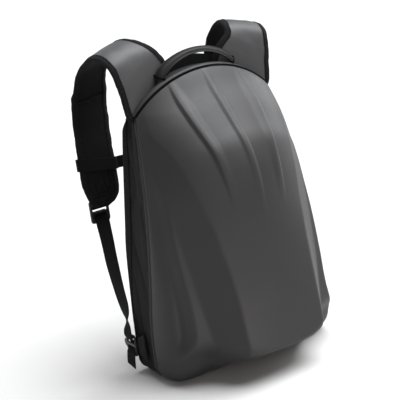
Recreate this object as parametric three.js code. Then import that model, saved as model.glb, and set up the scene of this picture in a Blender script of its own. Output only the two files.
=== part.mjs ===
// Hard-shell backpack in millimetres, +Z up, standing on its flat base.
// The origin is the middle of the base. -Y is the shell side, +Y the wearer's side.
import * as THREE from 'three';

// Driving sizes of the body
const BASE_HALF = 157;
const CORNER_RADIUS = 24;
const SEAM_CORNER_X = 122;
const SEAM_CORNER_Z = 419;
const DOME_TOP_Z = 471;
const SHELL_WALL = 3;
const CLOTH_WALL = 2;
const YOKE_WALL = 2.5;
const ZIP_WIDTH = 12.4;
const ZIP_INSET = 0.6;
const CORD_RADIUS = 1.5;
const CORD_INSET = 0.8;
const GAP = 0.3;
const SEAM_Y = -20;
const SEAM_BULGE = 10;
const SEAM_BULGE_FADE = 90;
const BACK_LIP = 18;
const BACK_LIP_START = 0.5;

// Outline of the body from the base corner to the seam corner:
// half width, y of the shell rim, y of the back seam and y of the padded back face
const OUTLINE = [
  { z: 0, half: 157, rim: -30.5, back: 31, pad: 36 },
  { z: 30, half: 157, rim: -30.5, back: 31, pad: 36 },
  { z: 70, half: 156.6, rim: -30.5, back: 31, pad: 36.5 },
  { z: 106, half: 155, rim: -33.5, back: 30.5, pad: 37.5 },
  { z: 150, half: 152.4, rim: -40.5, back: 24.5, pad: 41 },
  { z: 205, half: 148.8, rim: -46.5, back: 16, pad: 43 },
  { z: 258, half: 144.4, rim: -49, back: 9, pad: 38 },
  { z: 313, half: 139, rim: -46.5, back: 5, pad: 33.5 },
  { z: 360, half: 133, rim: -38.5, back: 6, pad: 31.5 },
  { z: 392, half: 127.6, rim: -30, back: 9, pad: 31 },
  { z: 419, half: 122, rim: -20, back: 12, pad: 31 },
];

// Front profile of the shell: depth of its middle line against the drop below the dome seam
const PROFILE = [
  { drop: 0, y: -20 },
  { drop: 25, y: -43 },
  { drop: 52, y: -74 },
  { drop: 79, y: -104 },
  { drop: 98, y: -121 },
  { drop: 115, y: -130.5 },
  { drop: 140, y: -138.5 },
  { drop: 171, y: -145 },
  { drop: 215, y: -150 },
  { drop: 256, y: -153.5 },
  { drop: 304, y: -160.5 },
  { drop: 353, y: -168 },
  { drop: 400, y: -173.5 },
  { drop: 471, y: -177 },
];

// Long crease on each side: half spacing, how far it lies behind the middle line, y of the flank's outer edge
const CREASE = [
  { z: 0, x: 72, behind: 3, edge: -79 },
  { z: 71, x: 72, behind: 3, edge: -78 },
  { z: 118, x: 73, behind: 3, edge: -76.5 },
  { z: 167, x: 74, behind: 4, edge: -72.5 },
  { z: 215, x: 78, behind: 5, edge: -67 },
  { z: 270, x: 86, behind: 8, edge: -59 },
  { z: 326, x: 98, behind: 13, edge: -52 },
  { z: 374, x: 114, behind: 8, edge: -43 },
  { z: 405, x: 118, behind: 3, edge: -30 },
  { z: 419, x: 117.5, behind: 0, edge: -22 },
];

// Flank between the crease (0) and its outer edge (1): share of the fall to the edge, as two broad steps
const FLANK = [
  { across: 0, fall: 0 },
  { across: 0.47, fall: 0.55 },
  { across: 0.7, fall: 0.66 },
  { across: 0.84, fall: 0.9 },
  { across: 1, fall: 1 },
];

// Ribs over the dome, placed as a share of the crease spacing, with inner and outer foot widths
const RIBS = [
  { place: 0, crest: 0.035, inner: 0.075, outer: 0.075, height: 3.5, end: 256 },
  { place: 0.52, crest: 0.03, inner: 0.2, outer: 0.07, height: 5, end: 272 },
];
const RIB_FADE = 50;
const RIB_START = 14;
const SIDE_ROUND = 14;

// Underside of the shell, against the share of the half width: height of its front corner, softness of that
// corner and how much the underside is arched
const BASE_ROUND = [
  { share: 0, height: 46, soft: 0.2, power: 1.1 },
  { share: 0.3, height: 47.5, soft: 0.24, power: 1.05 },
  { share: 0.45, height: 51, soft: 0.4, power: 0.88 },
  { share: 0.58, height: 50, soft: 0.75, power: 0.62 },
  { share: 0.7, height: 45, soft: 1, power: 0.48 },
  { share: 0.88, height: 33, soft: 1, power: 0.5 },
  { share: 1, height: 22, soft: 1, power: 0.5 },
];
const BASE_ROWS_TOP = 58;

// Columns of the shell grid: shares of the crease spacing, then shares of the flank
const FRONT_COLUMNS = [0, 0.045, 0.1, 0.2, 0.33, 0.43, 0.5, 0.55, 0.61, 0.74, 0.88, 1];
const FLANK_COLUMNS = [0.1, 0.28, 0.47, 0.58, 0.7, 0.77, 0.84, 0.9, 0.95, 0.985, 1];
const BASE_ROWS = 6;
const FRONT_ROWS = 14;

// Shoulder strap: inner and outer edge of each section on one side, from the yoke to the tip, its bow and
// half thickness, and how much nearer, lower and slimmer the +X strap hangs than the -X one
const STRAP = [
  { ix: 42, iy: 6, iz: 470, ox: 129, oy: -9.5, oz: 419, bow: 4.2, thick: 5, near: 0, low: 0, slim: 0 },
  { ix: 51, iy: 5, iz: 494, ox: 133.5, oy: -9, oz: 446, bow: 2.6, thick: 5, near: 0, low: 0, slim: 6 },
  { ix: 61.5, iy: 6, iz: 508.5, ox: 138, oy: -7.5, oz: 470, bow: 1, thick: 5, near: 0, low: 0, slim: 12 },
  { ix: 72, iy: 14, iz: 518, ox: 142.5, oy: -1, oz: 495, bow: 0, thick: 5, near: 0, low: 0, slim: 5 },
  { ix: 83, iy: 30, iz: 525, ox: 146.5, oy: 17, oz: 508, bow: 0, thick: 5, near: 1, low: 2, slim: 0 },
  { ix: 88, iy: 52, iz: 525.5, ox: 149, oy: 42, oz: 509.5, bow: 0, thick: 5, near: 4, low: 5, slim: 0 },
  { ix: 90, iy: 82, iz: 514, ox: 149.5, oy: 74, oz: 497, bow: 0, thick: 5, near: 10, low: 8, slim: 0 },
  { ix: 90, iy: 108, iz: 494, ox: 149.5, oy: 98, oz: 481, bow: 0, thick: 5, near: 18, low: 8, slim: 0 },
  { ix: 90.5, iy: 128, iz: 462, ox: 150, oy: 116, oz: 455, bow: 0, thick: 5, near: 20, low: 6, slim: 0 },
  { ix: 92, iy: 135, iz: 428, ox: 152, oy: 128, oz: 428, bow: 0, thick: 5, near: 12, low: 2, slim: 0 },
  { ix: 95, iy: 132.5, iz: 392, ox: 154.5, oy: 131, oz: 394, bow: 0, thick: 5, near: 4, low: 0, slim: 0 },
  { ix: 98, iy: 128.5, iz: 355, ox: 156.5, oy: 129, oz: 357, bow: 0, thick: 5, near: 0, low: 0, slim: 0 },
  { ix: 99.5, iy: 125, iz: 322, ox: 158, oy: 127.5, oz: 324, bow: 0, thick: 5, near: 0, low: 0, slim: 0 },
  { ix: 99.5, iy: 124, iz: 296, ox: 158, oy: 127, oz: 298, bow: 0, thick: 4.6, near: 0, low: 0, slim: 0 },
  { ix: 102.5, iy: 124.5, iz: 276, ox: 153, oy: 126, oz: 278, bow: 0, thick: 4, near: 0, low: 0, slim: 0 },
  { ix: 118, iy: 125, iz: 263.5, ox: 144.5, oy: 125, oz: 264.5, bow: 0, thick: 3.4, near: 0, low: 0, slim: 0 },
];
const STRAP_STEPS = 24;
const STRAP_EDGE_SHARE = 0.44;
const STRAP_SPLIT = 0.2;
const BINDING_WIDTH = 3.2;
const BINDING_SHARE = 0.68;

// Grab handle on the +X side: front lower edge and rear upper edge of each section, from the foot to the apex
const HANDLE = [
  { ix: 63, iy: -16.5, iz: 462.6, ox: 75, oy: -6, oz: 457.6 },
  { ix: 60, iy: -17, iz: 468.5, ox: 72, oy: -5, oz: 469.5 },
  { ix: 54, iy: -17, iz: 474.5, ox: 65, oy: -4.5, oz: 479.5 },
  { ix: 45, iy: -17.5, iz: 481, ox: 54, oy: -4.5, oz: 487.5 },
  { ix: 33, iy: -18, iz: 487, ox: 40, oy: -5.5, oz: 494 },
  { ix: 18, iy: -18, iz: 491.8, ox: 21, oy: -7, oz: 499.5 },
  { ix: 0, iy: -18, iz: 493.6, ox: 0, oy: -8, oz: 501.5 },
];
const HANDLE_THICK = 5;
const HANDLE_STEPS = 12;

// Adjusting webbing on the +X side, from the ladder lock to its tail:
// middle line and the turn of its width from +X towards +Y (degrees)
const WEBBING = [
  { x: 134, y: 141.2, z: 252, turn: 0 },
  { x: 134, y: 137.6, z: 247.8, turn: 0 },
  { x: 134, y: 133.6, z: 244.6, turn: 0 },
  { x: 134, y: 130.4, z: 240.5, turn: 0 },
  { x: 134.2, y: 129.2, z: 235, turn: 2 },
  { x: 135, y: 126, z: 224, turn: 6 },
  { x: 138, y: 116, z: 199, turn: 12 },
  { x: 142, y: 105, z: 174, turn: 17 },
  { x: 147, y: 90, z: 151, turn: 24 },
  { x: 151.5, y: 74.5, z: 128, turn: 32 },
  { x: 156, y: 58, z: 106, turn: 40 },
  { x: 161, y: 47, z: 93, turn: 54 },
  { x: 165.7, y: 38.5, z: 79, turn: 80 },
  { x: 167.6, y: 36.4, z: 68, turn: 90 },
  { x: 166.8, y: 36, z: 60.6, turn: 90 },
  { x: 163, y: 36, z: 55.6, turn: 90 },
  { x: 159.6, y: 36, z: 51.6, turn: 90 },
  { x: 159, y: 36, z: 48, turn: 90 },
  { x: 159.6, y: 36, z: 44.4, turn: 90 },
  { x: 163, y: 36, z: 40.4, turn: 90 },
  { x: 166.8, y: 36, z: 35.4, turn: 90 },
  { x: 168, y: 37, z: 27, turn: 90 },
  { x: 168.2, y: 40, z: 11, turn: 90 },
];
const WEBBING_WIDTH = 24;
const WEBBING_THICK = 1.6;

// Ladder lock at the strap tip and adjuster at the base corner: outer size and bar heights from the bottom up
const LOCK = { x: 134, y: 135.2, bottom: 229, width: 35, height: 39, thick: 4 };
const LOCK_SLOTS = [
  { from: 11, to: 21, half: 13.4 },
  { from: 25, to: 33, half: 13.4 },
];
const ADJUSTER = { y: 36, x: 163.3, bottom: 30, width: 27.4, height: 36, thick: 3.6 };
const ADJUSTER_SLOTS = [
  { from: 5, to: 15.5, half: 12.4 },
  { from: 20.5, to: 31, half: 12.4 },
];
const THUMB_REACH = 9;
const THUMB_HEIGHT = 16;

// Loop that holds the ladder lock to the strap tip: side profile behind the strap cover
const TIP_LOOP = [
  { y: 131.2, z: 292 },
  { y: 131.6, z: 276 },
  { y: 132, z: 262.5 },
  { y: 133.4, z: 258 },
  { y: 136, z: 257.2 },
  { y: 138.6, z: 258.4 },
  { y: 139.4, z: 262.5 },
  { y: 138.6, z: 269.6 },
  { y: 135, z: 275 },
  { y: 133.6, z: 281 },
  { y: 133.1, z: 292 },
];
const TIP_LOOP_WIDTH = 25;
const TIP_LOOP_THICK = 1.3;

// Wing tab: corners on the gusset side and at the adjuster
const WING = { front: -2, back: 21.9, low: 29, high: 74, tipLow: 34, tipHigh: 62, x: 157.3, thick: 4 };

// Chest strap: height on the shoulder straps, band width, and its sag in the middle
const CHEST_Z = 328;
const CHEST_WIDTH = 20;
const CHEST_THICK = 1.5;
const CHEST_SAG = 4;
const CHEST_SLANT = 8;
const CHEST_Y = 121;
const CHEST_BUCKLE = { width: 52, height: 27, thick: 9, round: 5 };

const FINISH = {
  shell: { color: 0x44464a, roughness: 0.6, metalness: 0 },
  coated: { color: 0x46484b, roughness: 0.65, metalness: 0 },
  cloth: { color: 0x232425, roughness: 0.9, metalness: 0 },
  zip: { color: 0x18191a, roughness: 0.8, metalness: 0 },
  mesh: { color: 0x131416, roughness: 0.95, metalness: 0 },
  tape: { color: 0x35373a, roughness: 0.9, metalness: 0 },
  webbing: { color: 0x151617, roughness: 0.85, metalness: 0 },
  plastic: { color: 0x1b1c1e, roughness: 0.45, metalness: 0 },
};

// Smooth value of one table column, held at both ends
function column(table, key, name) {
  const xs = table.map((row) => row[key]);
  const ys = table.map((row) => row[name]);
  const last = xs.length - 1;
  const slope = xs.map((x, i) => {
    const a = Math.max(i - 1, 0);
    const b = Math.min(i + 1, last);
    return (ys[b] - ys[a]) / (xs[b] - xs[a]);
  });
  return (x) => {
    if (x <= xs[0]) return ys[0];
    if (x >= xs[last]) return ys[last];
    const i = xs.findIndex((edge) => edge > x) - 1;
    const span = xs[i + 1] - xs[i];
    const t = (x - xs[i]) / span;
    const rise = t * t * (3 - 2 * t);
    const start = t * (1 - t) * (1 - t) * span * slope[i];
    const end = t * t * (t - 1) * span * slope[i + 1];
    return ys[i] + (ys[i + 1] - ys[i]) * rise + start + end;
  };
}

const halfWidth = column(OUTLINE, 'z', 'half');
const rimY = column(OUTLINE, 'z', 'rim');
const backY = column(OUTLINE, 'z', 'back');
const padY = column(OUTLINE, 'z', 'pad');
const profileY = column(PROFILE, 'drop', 'y');
const creaseX = column(CREASE, 'z', 'x');
const creaseBehind = column(CREASE, 'z', 'behind');
const flankEdgeY = column(CREASE, 'z', 'edge');
const baseRound = column(BASE_ROUND, 'share', 'height');
const baseSoft = column(BASE_ROUND, 'share', 'soft');
const basePower = column(BASE_ROUND, 'share', 'power');

// Dome arc through the two seam corners and the top
const DOME_RISE = DOME_TOP_Z - SEAM_CORNER_Z;
const DOME_RADIUS = (SEAM_CORNER_X ** 2 + DOME_RISE ** 2) / (2 * DOME_RISE);
const DOME_CENTRE_Z = DOME_TOP_Z - DOME_RADIUS;

function domeZ(x) {
  return DOME_CENTRE_Z + Math.sqrt(DOME_RADIUS ** 2 - x ** 2);
}

function baseZ(x) {
  const past = Math.max(Math.abs(x) - (BASE_HALF - CORNER_RADIUS), 0);
  return CORNER_RADIUS - Math.sqrt(Math.max(CORNER_RADIUS ** 2 - past ** 2, 0));
}

function smooth(value) {
  const t = THREE.MathUtils.clamp(value, 0, 1);
  return t * t * (3 - 2 * t);
}

// Rise from 0 to 1 along a slope that is rounded off where it meets the front
function undersideRise(height, soft) {
  const corner = THREE.MathUtils.clamp(height - 1 + soft, 0, 2 * soft);
  const rise = Math.min(height, 1 + soft) - corner ** 2 / (4 * soft);
  return THREE.MathUtils.clamp(rise, 0, 1);
}

// How far the seam over the dome stands forward of its corners
function seamBulge(x) {
  return SEAM_BULGE * (1 - (x / SEAM_CORNER_X) ** 2);
}

// Closed geometry from points and triangles, turned so that its faces point out
function closedGeometry(points, triangles) {
  let volume = 0;
  for (const [a, b, c] of triangles) {
    volume += points[a].dot(points[b].clone().cross(points[c]));
  }
  const order = volume < 0 ? triangles.map(([a, b, c]) => [a, c, b]) : triangles;
  const geometry = new THREE.BufferGeometry();
  geometry.setAttribute('position', new THREE.Float32BufferAttribute(points.flatMap((p) => p.toArray()), 3));
  geometry.setIndex(order.flat());
  geometry.computeVertexNormals();
  return geometry;
}

// Skin over rings of an even number of points, either capped at both ends or joined end to end
function loft(rings, joined = false) {
  const size = rings[0].length;
  const points = rings.flat();
  const triangles = [];
  const spans = joined ? rings.length : rings.length - 1;
  for (let i = 0; i < spans; i += 1) {
    const here = i * size;
    const next = ((i + 1) % rings.length) * size;
    for (let j = 0; j < size; j += 1) {
      const k = (j + 1) % size;
      triangles.push([here + j, here + k, next + k], [here + j, next + k, next + j]);
    }
  }
  if (!joined) {
    const end = (rings.length - 1) * size;
    for (let j = 0; j < size / 2 - 1; j += 1) {
      const far = size - 1 - j;
      triangles.push([j, far, j + 1], [j + 1, far, far - 1]);
      triangles.push([end + j, end + j + 1, end + far], [end + j + 1, end + far - 1, end + far]);
    }
  }
  return closedGeometry(points, triangles);
}

// Wall between two grids of points with the same rows and columns
function wall(outer, inner) {
  const rows = outer.length;
  const columns = outer[0].length;
  const points = [...outer.flat(), ...inner.flat()];
  const offset = rows * columns;
  const triangles = [];
  const quad = (a, b, c, d) => triangles.push([a, b, c], [a, c, d]);
  for (let i = 0; i < rows - 1; i += 1) {
    for (let j = 0; j < columns - 1; j += 1) {
      const a = i * columns + j;
      const b = a + 1;
      const c = b + columns;
      const d = a + columns;
      quad(a, b, c, d);
      quad(offset + a, offset + d, offset + c, offset + b);
    }
  }
  const border = [];
  for (let j = 0; j < columns - 1; j += 1) border.push(j);
  for (let i = 0; i < rows - 1; i += 1) border.push(i * columns + columns - 1);
  for (let j = columns - 1; j > 0; j -= 1) border.push((rows - 1) * columns + j);
  for (let i = rows - 1; i > 0; i -= 1) border.push(i * columns);
  border.forEach((a, n) => {
    const b = border[(n + 1) % border.length];
    quad(b, a, offset + a, offset + b);
  });
  return closedGeometry(points, triangles);
}

// Flat strip through rows that each give a middle point, a direction across and one out of the strip
function strip(rows, width, thick) {
  const rings = rows.map(({ mid, across, out }) => [[-1, -1], [1, -1], [1, 1], [-1, 1]].map(([a, b]) =>
    mid.clone().addScaledVector(across, a * width / 2).addScaledVector(out, b * thick / 2)));
  return loft(rings);
}

// Rows for a strip along points, with the given direction across at each point
function stripRows(mids, acrosses) {
  return mids.map((mid, i) => {
    const before = mids[Math.max(i - 1, 0)];
    const after = mids[Math.min(i + 1, mids.length - 1)];
    const along = after.clone().sub(before).normalize();
    const across = acrosses[i].clone().addScaledVector(along, -acrosses[i].dot(along)).normalize();
    return { mid, across, out: across.clone().cross(along) };
  });
}

// Closed round cord along stations, each with a middle point and two directions square to the cord
function cord(stations, radius, sides, joined) {
  const rings = stations.map(({ mid, first, second }) => Array.from({ length: sides }, (_, k) => {
    const angle = (2 * Math.PI * k) / sides;
    return mid.clone()
      .addScaledVector(first, radius * Math.cos(angle))
      .addScaledVector(second, radius * Math.sin(angle));
  }));
  return loft(rings, joined);
}

// The same geometry on the other side of the middle plane
function mirrored(geometry) {
  const copy = geometry.clone();
  const position = copy.getAttribute('position');
  for (let i = 0; i < position.count; i += 1) position.setX(i, -position.getX(i));
  const index = copy.getIndex();
  for (let i = 0; i < index.count; i += 3) {
    const keep = index.getX(i + 1);
    index.setX(i + 1, index.getX(i + 2));
    index.setX(i + 2, keep);
  }
  copy.computeVertexNormals();
  return copy;
}

// Extruded outline with holes, merged so that its corners are shared, then placed
function plate(shape, thick, matrix) {
  const extruded = new THREE.ExtrudeGeometry(shape, { depth: thick, bevelEnabled: false, curveSegments: 2 });
  const position = extruded.getAttribute('position');
  const index = new Map();
  const points = [];
  const order = [];
  for (let i = 0; i < position.count; i += 1) {
    const point = new THREE.Vector3().fromBufferAttribute(position, i);
    const key = point.toArray().map((value) => value.toFixed(4)).join(' ');
    if (!index.has(key)) {
      index.set(key, points.length);
      points.push(point.applyMatrix4(matrix));
    }
    order.push(index.get(key));
  }
  const triangles = [];
  for (let i = 0; i < order.length; i += 3) triangles.push([order[i], order[i + 1], order[i + 2]]);
  return closedGeometry(points, triangles);
}

function roundedRectangle(path, left, bottom, right, top, radius) {
  path.moveTo(left + radius, bottom);
  path.lineTo(right - radius, bottom);
  path.absarc(right - radius, bottom + radius, radius, -Math.PI / 2, 0, false);
  path.lineTo(right, top - radius);
  path.absarc(right - radius, top - radius, radius, 0, Math.PI / 2, false);
  path.lineTo(left + radius, top);
  path.absarc(left + radius, top - radius, radius, Math.PI / 2, Math.PI, false);
  path.lineTo(left, bottom + radius);
  path.absarc(left + radius, bottom + radius, radius, Math.PI, 1.5 * Math.PI, false);
  return path;
}

// Front surface of the shell without the rounding at its border
function ribHeight(share, z, drop) {
  return RIBS.reduce((height, rib) => {
    const offset = share - rib.place;
    const foot = offset < 0 ? rib.inner : rib.outer;
    const side = 1 - smooth((Math.abs(offset) - rib.crest) / foot);
    const along = smooth((z - rib.end) / RIB_FADE) * smooth(drop / RIB_START);
    return height + rib.height * side * along;
  }, 0);
}

function flankFall(across) {
  const i = Math.max(FLANK.findIndex((row) => row.across >= across), 1);
  const [a, b] = [FLANK[i - 1], FLANK[i]];
  return THREE.MathUtils.mapLinear(across, a.across, b.across, a.fall, b.fall);
}

function frontY(share, across, z, drop) {
  const middle = profileY(drop);
  const crease = middle + creaseBehind(z);
  if (across <= 0) return middle + creaseBehind(z) * share * share - ribHeight(share, z, drop);
  const edge = Math.max(flankEdgeY(z), crease);
  return crease + (edge - crease) * flankFall(across);
}

// Rows from the base (0) to the dome (1) that every piece of the body shares, closer together near the base
function bodyRows() {
  const low = BASE_ROWS_TOP / DOME_TOP_Z;
  const rows = [];
  for (let i = 0; i < BASE_ROWS; i += 1) rows.push((1 - Math.cos((i / BASE_ROWS) * Math.PI / 2)) * low);
  for (let i = 0; i <= FRONT_ROWS; i += 1) rows.push(low + (1 - low) * (i / FRONT_ROWS));
  return rows;
}

function sideHeight(v) {
  return CORNER_RADIUS + v * (SEAM_CORNER_Z - CORNER_RADIUS);
}

// One skin of the shell, drawn in from the outer skin by the given wall
function shellSkin(inset) {
  const side = [
    ...FRONT_COLUMNS.map((share) => ({ share, across: 0 })),
    ...FLANK_COLUMNS.map((across) => ({ share: 1, across })),
  ];
  const columns = [
    ...side.slice(1).reverse().map((place) => ({ ...place, sign: -1 })),
    ...side.map((place) => ({ ...place, sign: 1 })),
  ];
  return bodyRows().map((v) => columns.map(({ share, across, sign }) => {
    const sideZ = sideHeight(v);
    const half = halfWidth(sideZ);
    const crease = Math.min(creaseX(sideZ), half - 4);
    const x = crease * share + (half - crease) * across;
    const low = baseZ(x * BASE_HALF / half);
    const high = domeZ(x * SEAM_CORNER_X / half);
    const z = low + v * (high - low);
    const drop = high - z;
    const fromSide = Math.min((half - x) / SIDE_ROUND, 1);
    const fromBase = undersideRise((z - low) / baseRound(x / half), baseSoft(x / half));
    const sideRise = Math.sqrt(1 - (1 - fromSide) ** 2);
    const baseRise = fromBase ** basePower(x / half);
    const bulge = seamBulge(x * SEAM_CORNER_X / half) * (1 - smooth(drop / SEAM_BULGE_FADE));
    const centreZ = 0.5 * (low + high);
    const insetX = x * (1 - inset / half);
    const insetZ = z - inset * (z - centreZ) / (0.5 * (high - low));
    const rim = rimY(insetZ);
    const y = rim + Math.min(frontY(share, across, z, drop) + inset - rim, 0) * sideRise * baseRise;
    return new THREE.Vector3(sign * insetX, y - bulge, insetZ);
  }));
}

// Stations round the outline with outward normals; the part over the dome or the part below it
function withNormals(points, joined) {
  return points.map((point, i) => {
    const last = points.length - 1;
    const before = points[i > 0 ? i - 1 : (joined ? last : 0)];
    const after = points[i < last ? i + 1 : (joined ? 0 : last)];
    const along = after.clone().sub(before).normalize();
    return { x: point.x, z: point.y, nx: along.y, nz: -along.x };
  });
}

function lowerPoints(topZ) {
  const right = [];
  for (let i = 0; i <= 3; i += 1) {
    right.push(new THREE.Vector2((i / 3) * (BASE_HALF - CORNER_RADIUS), 0));
  }
  for (let i = 1; i <= 6; i += 1) {
    const angle = (i / 6) * Math.PI / 2;
    right.push(new THREE.Vector2(
      BASE_HALF - CORNER_RADIUS + CORNER_RADIUS * Math.sin(angle),
      CORNER_RADIUS - CORNER_RADIUS * Math.cos(angle),
    ));
  }
  for (const v of bodyRows().slice(1)) {
    const z = Math.min(sideHeight(v), topZ);
    right.push(new THREE.Vector2(halfWidth(z), z));
  }
  const left = right.slice(1).reverse().map((p) => new THREE.Vector2(-p.x, p.y));
  return [...left, ...right];
}

function domePoints(halfX, steps) {
  const points = [];
  for (let i = 0; i <= steps; i += 1) {
    const angle = Math.asin(halfX / DOME_RADIUS) * (1 - (2 * i) / steps);
    const z = DOME_CENTRE_Z + DOME_RADIUS * Math.cos(angle);
    points.push(new THREE.Vector2(DOME_RADIUS * Math.sin(angle), z));
  }
  return points;
}

// Band along stations between two y values, from an outer to an inner depth below the outline
function band(stations, frontAt, rearAt, outerDepth, innerDepth) {
  const rings = stations.map((s) => {
    const at = (depth, y) => new THREE.Vector3(s.x - s.nx * depth, y, s.z - s.nz * depth);
    const front = frontAt(s.z, s.x);
    const rear = rearAt(s.z);
    return [at(outerDepth, front), at(outerDepth, rear), at(innerDepth, rear), at(innerDepth, front)];
  });
  return loft(rings);
}

// A cord stands proud of the outline at the sides and is drawn in flush with the base
function cordStations(stations, yAt) {
  return stations.map((s) => {
    const inset = THREE.MathUtils.lerp(CORD_INSET, CORD_RADIUS, Math.max(-s.nz, 0));
    return {
      mid: new THREE.Vector3(s.x - s.nx * inset, yAt(s.z, s.x), s.z - s.nz * inset),
      first: new THREE.Vector3(s.nx, 0, s.nz),
      second: new THREE.Vector3(0, 1, 0),
    };
  });
}

// Padded back: front face along the back seam, rear face on the pad, rounded at the border
function backPanel() {
  const inset = 1.6;
  const round = 6;
  const columns = [-1, -0.98, -0.93, -0.6, 0, 0.6, 0.93, 0.98, 1];
  const point = (u, v, rear) => {
    const half = halfWidth(sideHeight(v));
    const x = Math.abs(u) * half;
    const low = baseZ(x * BASE_HALF / half);
    const lip = BACK_LIP * (1 - smooth((x / half - BACK_LIP_START) / (1 - BACK_LIP_START)));
    const high = domeZ(x * SEAM_CORNER_X / half) + lip;
    const z = low + v * (high - low);
    const fromSide = Math.min((half - x) / round, 1);
    const fromEnds = Math.min((z - low) / round, (high - z) / round, 1);
    const rise = Math.sqrt((1 - (1 - fromSide) ** 2) * (1 - (1 - fromEnds) ** 2));
    const front = backY(z) + CORD_RADIUS + 2 * GAP;
    const edge = front + CLOTH_WALL;
    const y = rear ? edge + (padY(z) - edge) * (0.6 + 0.4 * rise) : front;
    const centreZ = 0.5 * (low + high);
    const insetZ = z - inset * (z - centreZ) / (0.5 * (high - low));
    return new THREE.Vector3(Math.sign(u) * x * (1 - inset / half), y, insetZ);
  };
  const grid = (rear) => bodyRows().map((v) => columns.map((u) => point(u, v, rear)));
  return wall(grid(true), grid(false));
}

// Frames through paired edges: middle point, half width, and directions across, along and out
function edgeFrames(pairs) {
  const mids = pairs.map(({ a, b }) => a.clone().add(b).multiplyScalar(0.5));
  return pairs.map((pair, i) => {
    const before = mids[Math.max(i - 1, 0)];
    const after = mids[Math.min(i + 1, mids.length - 1)];
    const along = after.clone().sub(before).normalize();
    const across = pair.b.clone().sub(pair.a);
    const half = across.length() / 2;
    across.normalize();
    const out = across.clone().cross(along).normalize();
    return { ...pair, mid: mids[i], half, across, along, out };
  });
}

function edgeCurve(rows, x, y, z) {
  const points = rows.map((row) => new THREE.Vector3(row[x], row[y], row[z]));
  return new THREE.CatmullRomCurve3(points, false, 'centripetal');
}

// Frames along a strap, worked out on the +X side, with the bow and half thickness of each section
function strapFrames(slack) {
  const rows = STRAP.map((row, i) => ({
    ...row,
    at: i / (STRAP.length - 1),
    ix: row.ix + slack * row.slim,
    iy: row.iy - slack * row.near,
    oy: row.oy - slack * row.near,
    iz: row.iz - slack * row.low,
    oz: row.oz - slack * row.low,
  }));
  const inner = edgeCurve(rows, 'ix', 'iy', 'iz');
  const outer = edgeCurve(rows, 'ox', 'oy', 'oz');
  const bowAt = column(rows, 'at', 'bow');
  const thickAt = column(rows, 'at', 'thick');
  const pairs = Array.from({ length: STRAP_STEPS + 1 }, (_, i) => {
    const t = i / STRAP_STEPS;
    return { a: inner.getPoint(t), b: outer.getPoint(t), bow: bowAt(t), thick: thickAt(t) };
  });
  return edgeFrames(pairs);
}

const rightPath = strapFrames(1);
const leftPath = strapFrames(0);

function strapPoint(frame, share, up) {
  return frame.mid.clone()
    .addScaledVector(frame.across, share * frame.half)
    .addScaledVector(frame.along, (1 - share * share) * frame.bow)
    .addScaledVector(frame.out, up);
}

// One padded face of the strap, domed towards the given side
function strapFace(path, sign) {
  const shares = [-1, -0.5, 0, 0.5, 1];
  const dome = (share) => 1 - (1 - STRAP_EDGE_SHARE) * Math.abs(share) ** 3;
  return loft(path.map((frame) => [
    ...shares.map((share) => strapPoint(frame, share, sign * STRAP_SPLIT)),
    ...shares.map((share) => strapPoint(frame, -share, sign * frame.thick * dome(share))),
  ]));
}

// Woven tape down the inner edge, round the tip and up the outer edge
function strapBinding(strapPath) {
  const centre = 2 * GAP + BINDING_WIDTH / 2;
  const inner = strapPath.map((frame) => ({ ...frame, point: strapPoint(frame, -1, 0) }));
  const outer = strapPath.map((frame) => ({ ...frame, point: strapPoint(frame, 1, 0) })).reverse();
  const path = [...inner, ...outer];
  const rings = path.map(({ point, out, thick }, i) => {
    const before = path[Math.max(i - 1, 0)].point;
    const after = path[Math.min(i + 1, path.length - 1)].point;
    const entry = point.clone().sub(before).normalize();
    const exit = after.clone().sub(point).normalize();
    const along = entry.clone().add(exit).normalize();
    const away = out.clone().cross(along).normalize();
    const mitre = i === 0 || i === path.length - 1 ? 1 : 1 / Math.max(along.dot(exit), 0.5);
    const at = (side, up) => point.clone()
      .addScaledVector(away, (centre + side * BINDING_WIDTH / 2) * mitre)
      .addScaledVector(out, up * BINDING_SHARE * thick);
    return [at(-1, -1), at(1, -0.7), at(1, 0.7), at(-1, 1)];
  });
  return loft(rings);
}

// Grab handle, a padded strip cut to an arch that leans back
function grabHandle() {
  const rows = [
    ...HANDLE,
    ...HANDLE.slice(0, -1).reverse().map((row) => ({ ...row, ix: -row.ix, ox: -row.ox })),
  ];
  const front = edgeCurve(rows, 'ix', 'iy', 'iz');
  const rear = edgeCurve(rows, 'ox', 'oy', 'oz');
  const pairs = Array.from({ length: 2 * HANDLE_STEPS + 1 }, (_, i) => {
    const t = i / (2 * HANDLE_STEPS);
    return { a: front.getPoint(t), b: rear.getPoint(t) };
  });
  const profile = [
    [-1, -0.35], [-0.6, -1], [0.6, -1], [1, -0.35],
    [1, 0.35], [0.6, 1], [-0.6, 1], [-1, 0.35],
  ];
  return loft(edgeFrames(pairs).map(({ mid, half, across, out }) => profile.map(([a, b]) => mid.clone()
    .addScaledVector(across, a * half)
    .addScaledVector(out, b * HANDLE_THICK / 2))));
}

// Adjusting webbing through the slots of the ladder lock and the adjuster
function webbing() {
  const mids = WEBBING.map((row) => new THREE.Vector3(row.x, row.y, row.z));
  const acrosses = WEBBING.map((row) => {
    const turn = THREE.MathUtils.degToRad(row.turn);
    return new THREE.Vector3(Math.cos(turn), -Math.sin(turn), 0);
  });
  return strip(stripRows(mids, acrosses), WEBBING_WIDTH, WEBBING_THICK);
}

function tipLoop() {
  const mids = TIP_LOOP.map((row) => new THREE.Vector3(LOCK.x, row.y, row.z));
  return strip(stripRows(mids, mids.map(() => new THREE.Vector3(1, 0, 0))), TIP_LOOP_WIDTH, TIP_LOOP_THICK);
}

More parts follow.
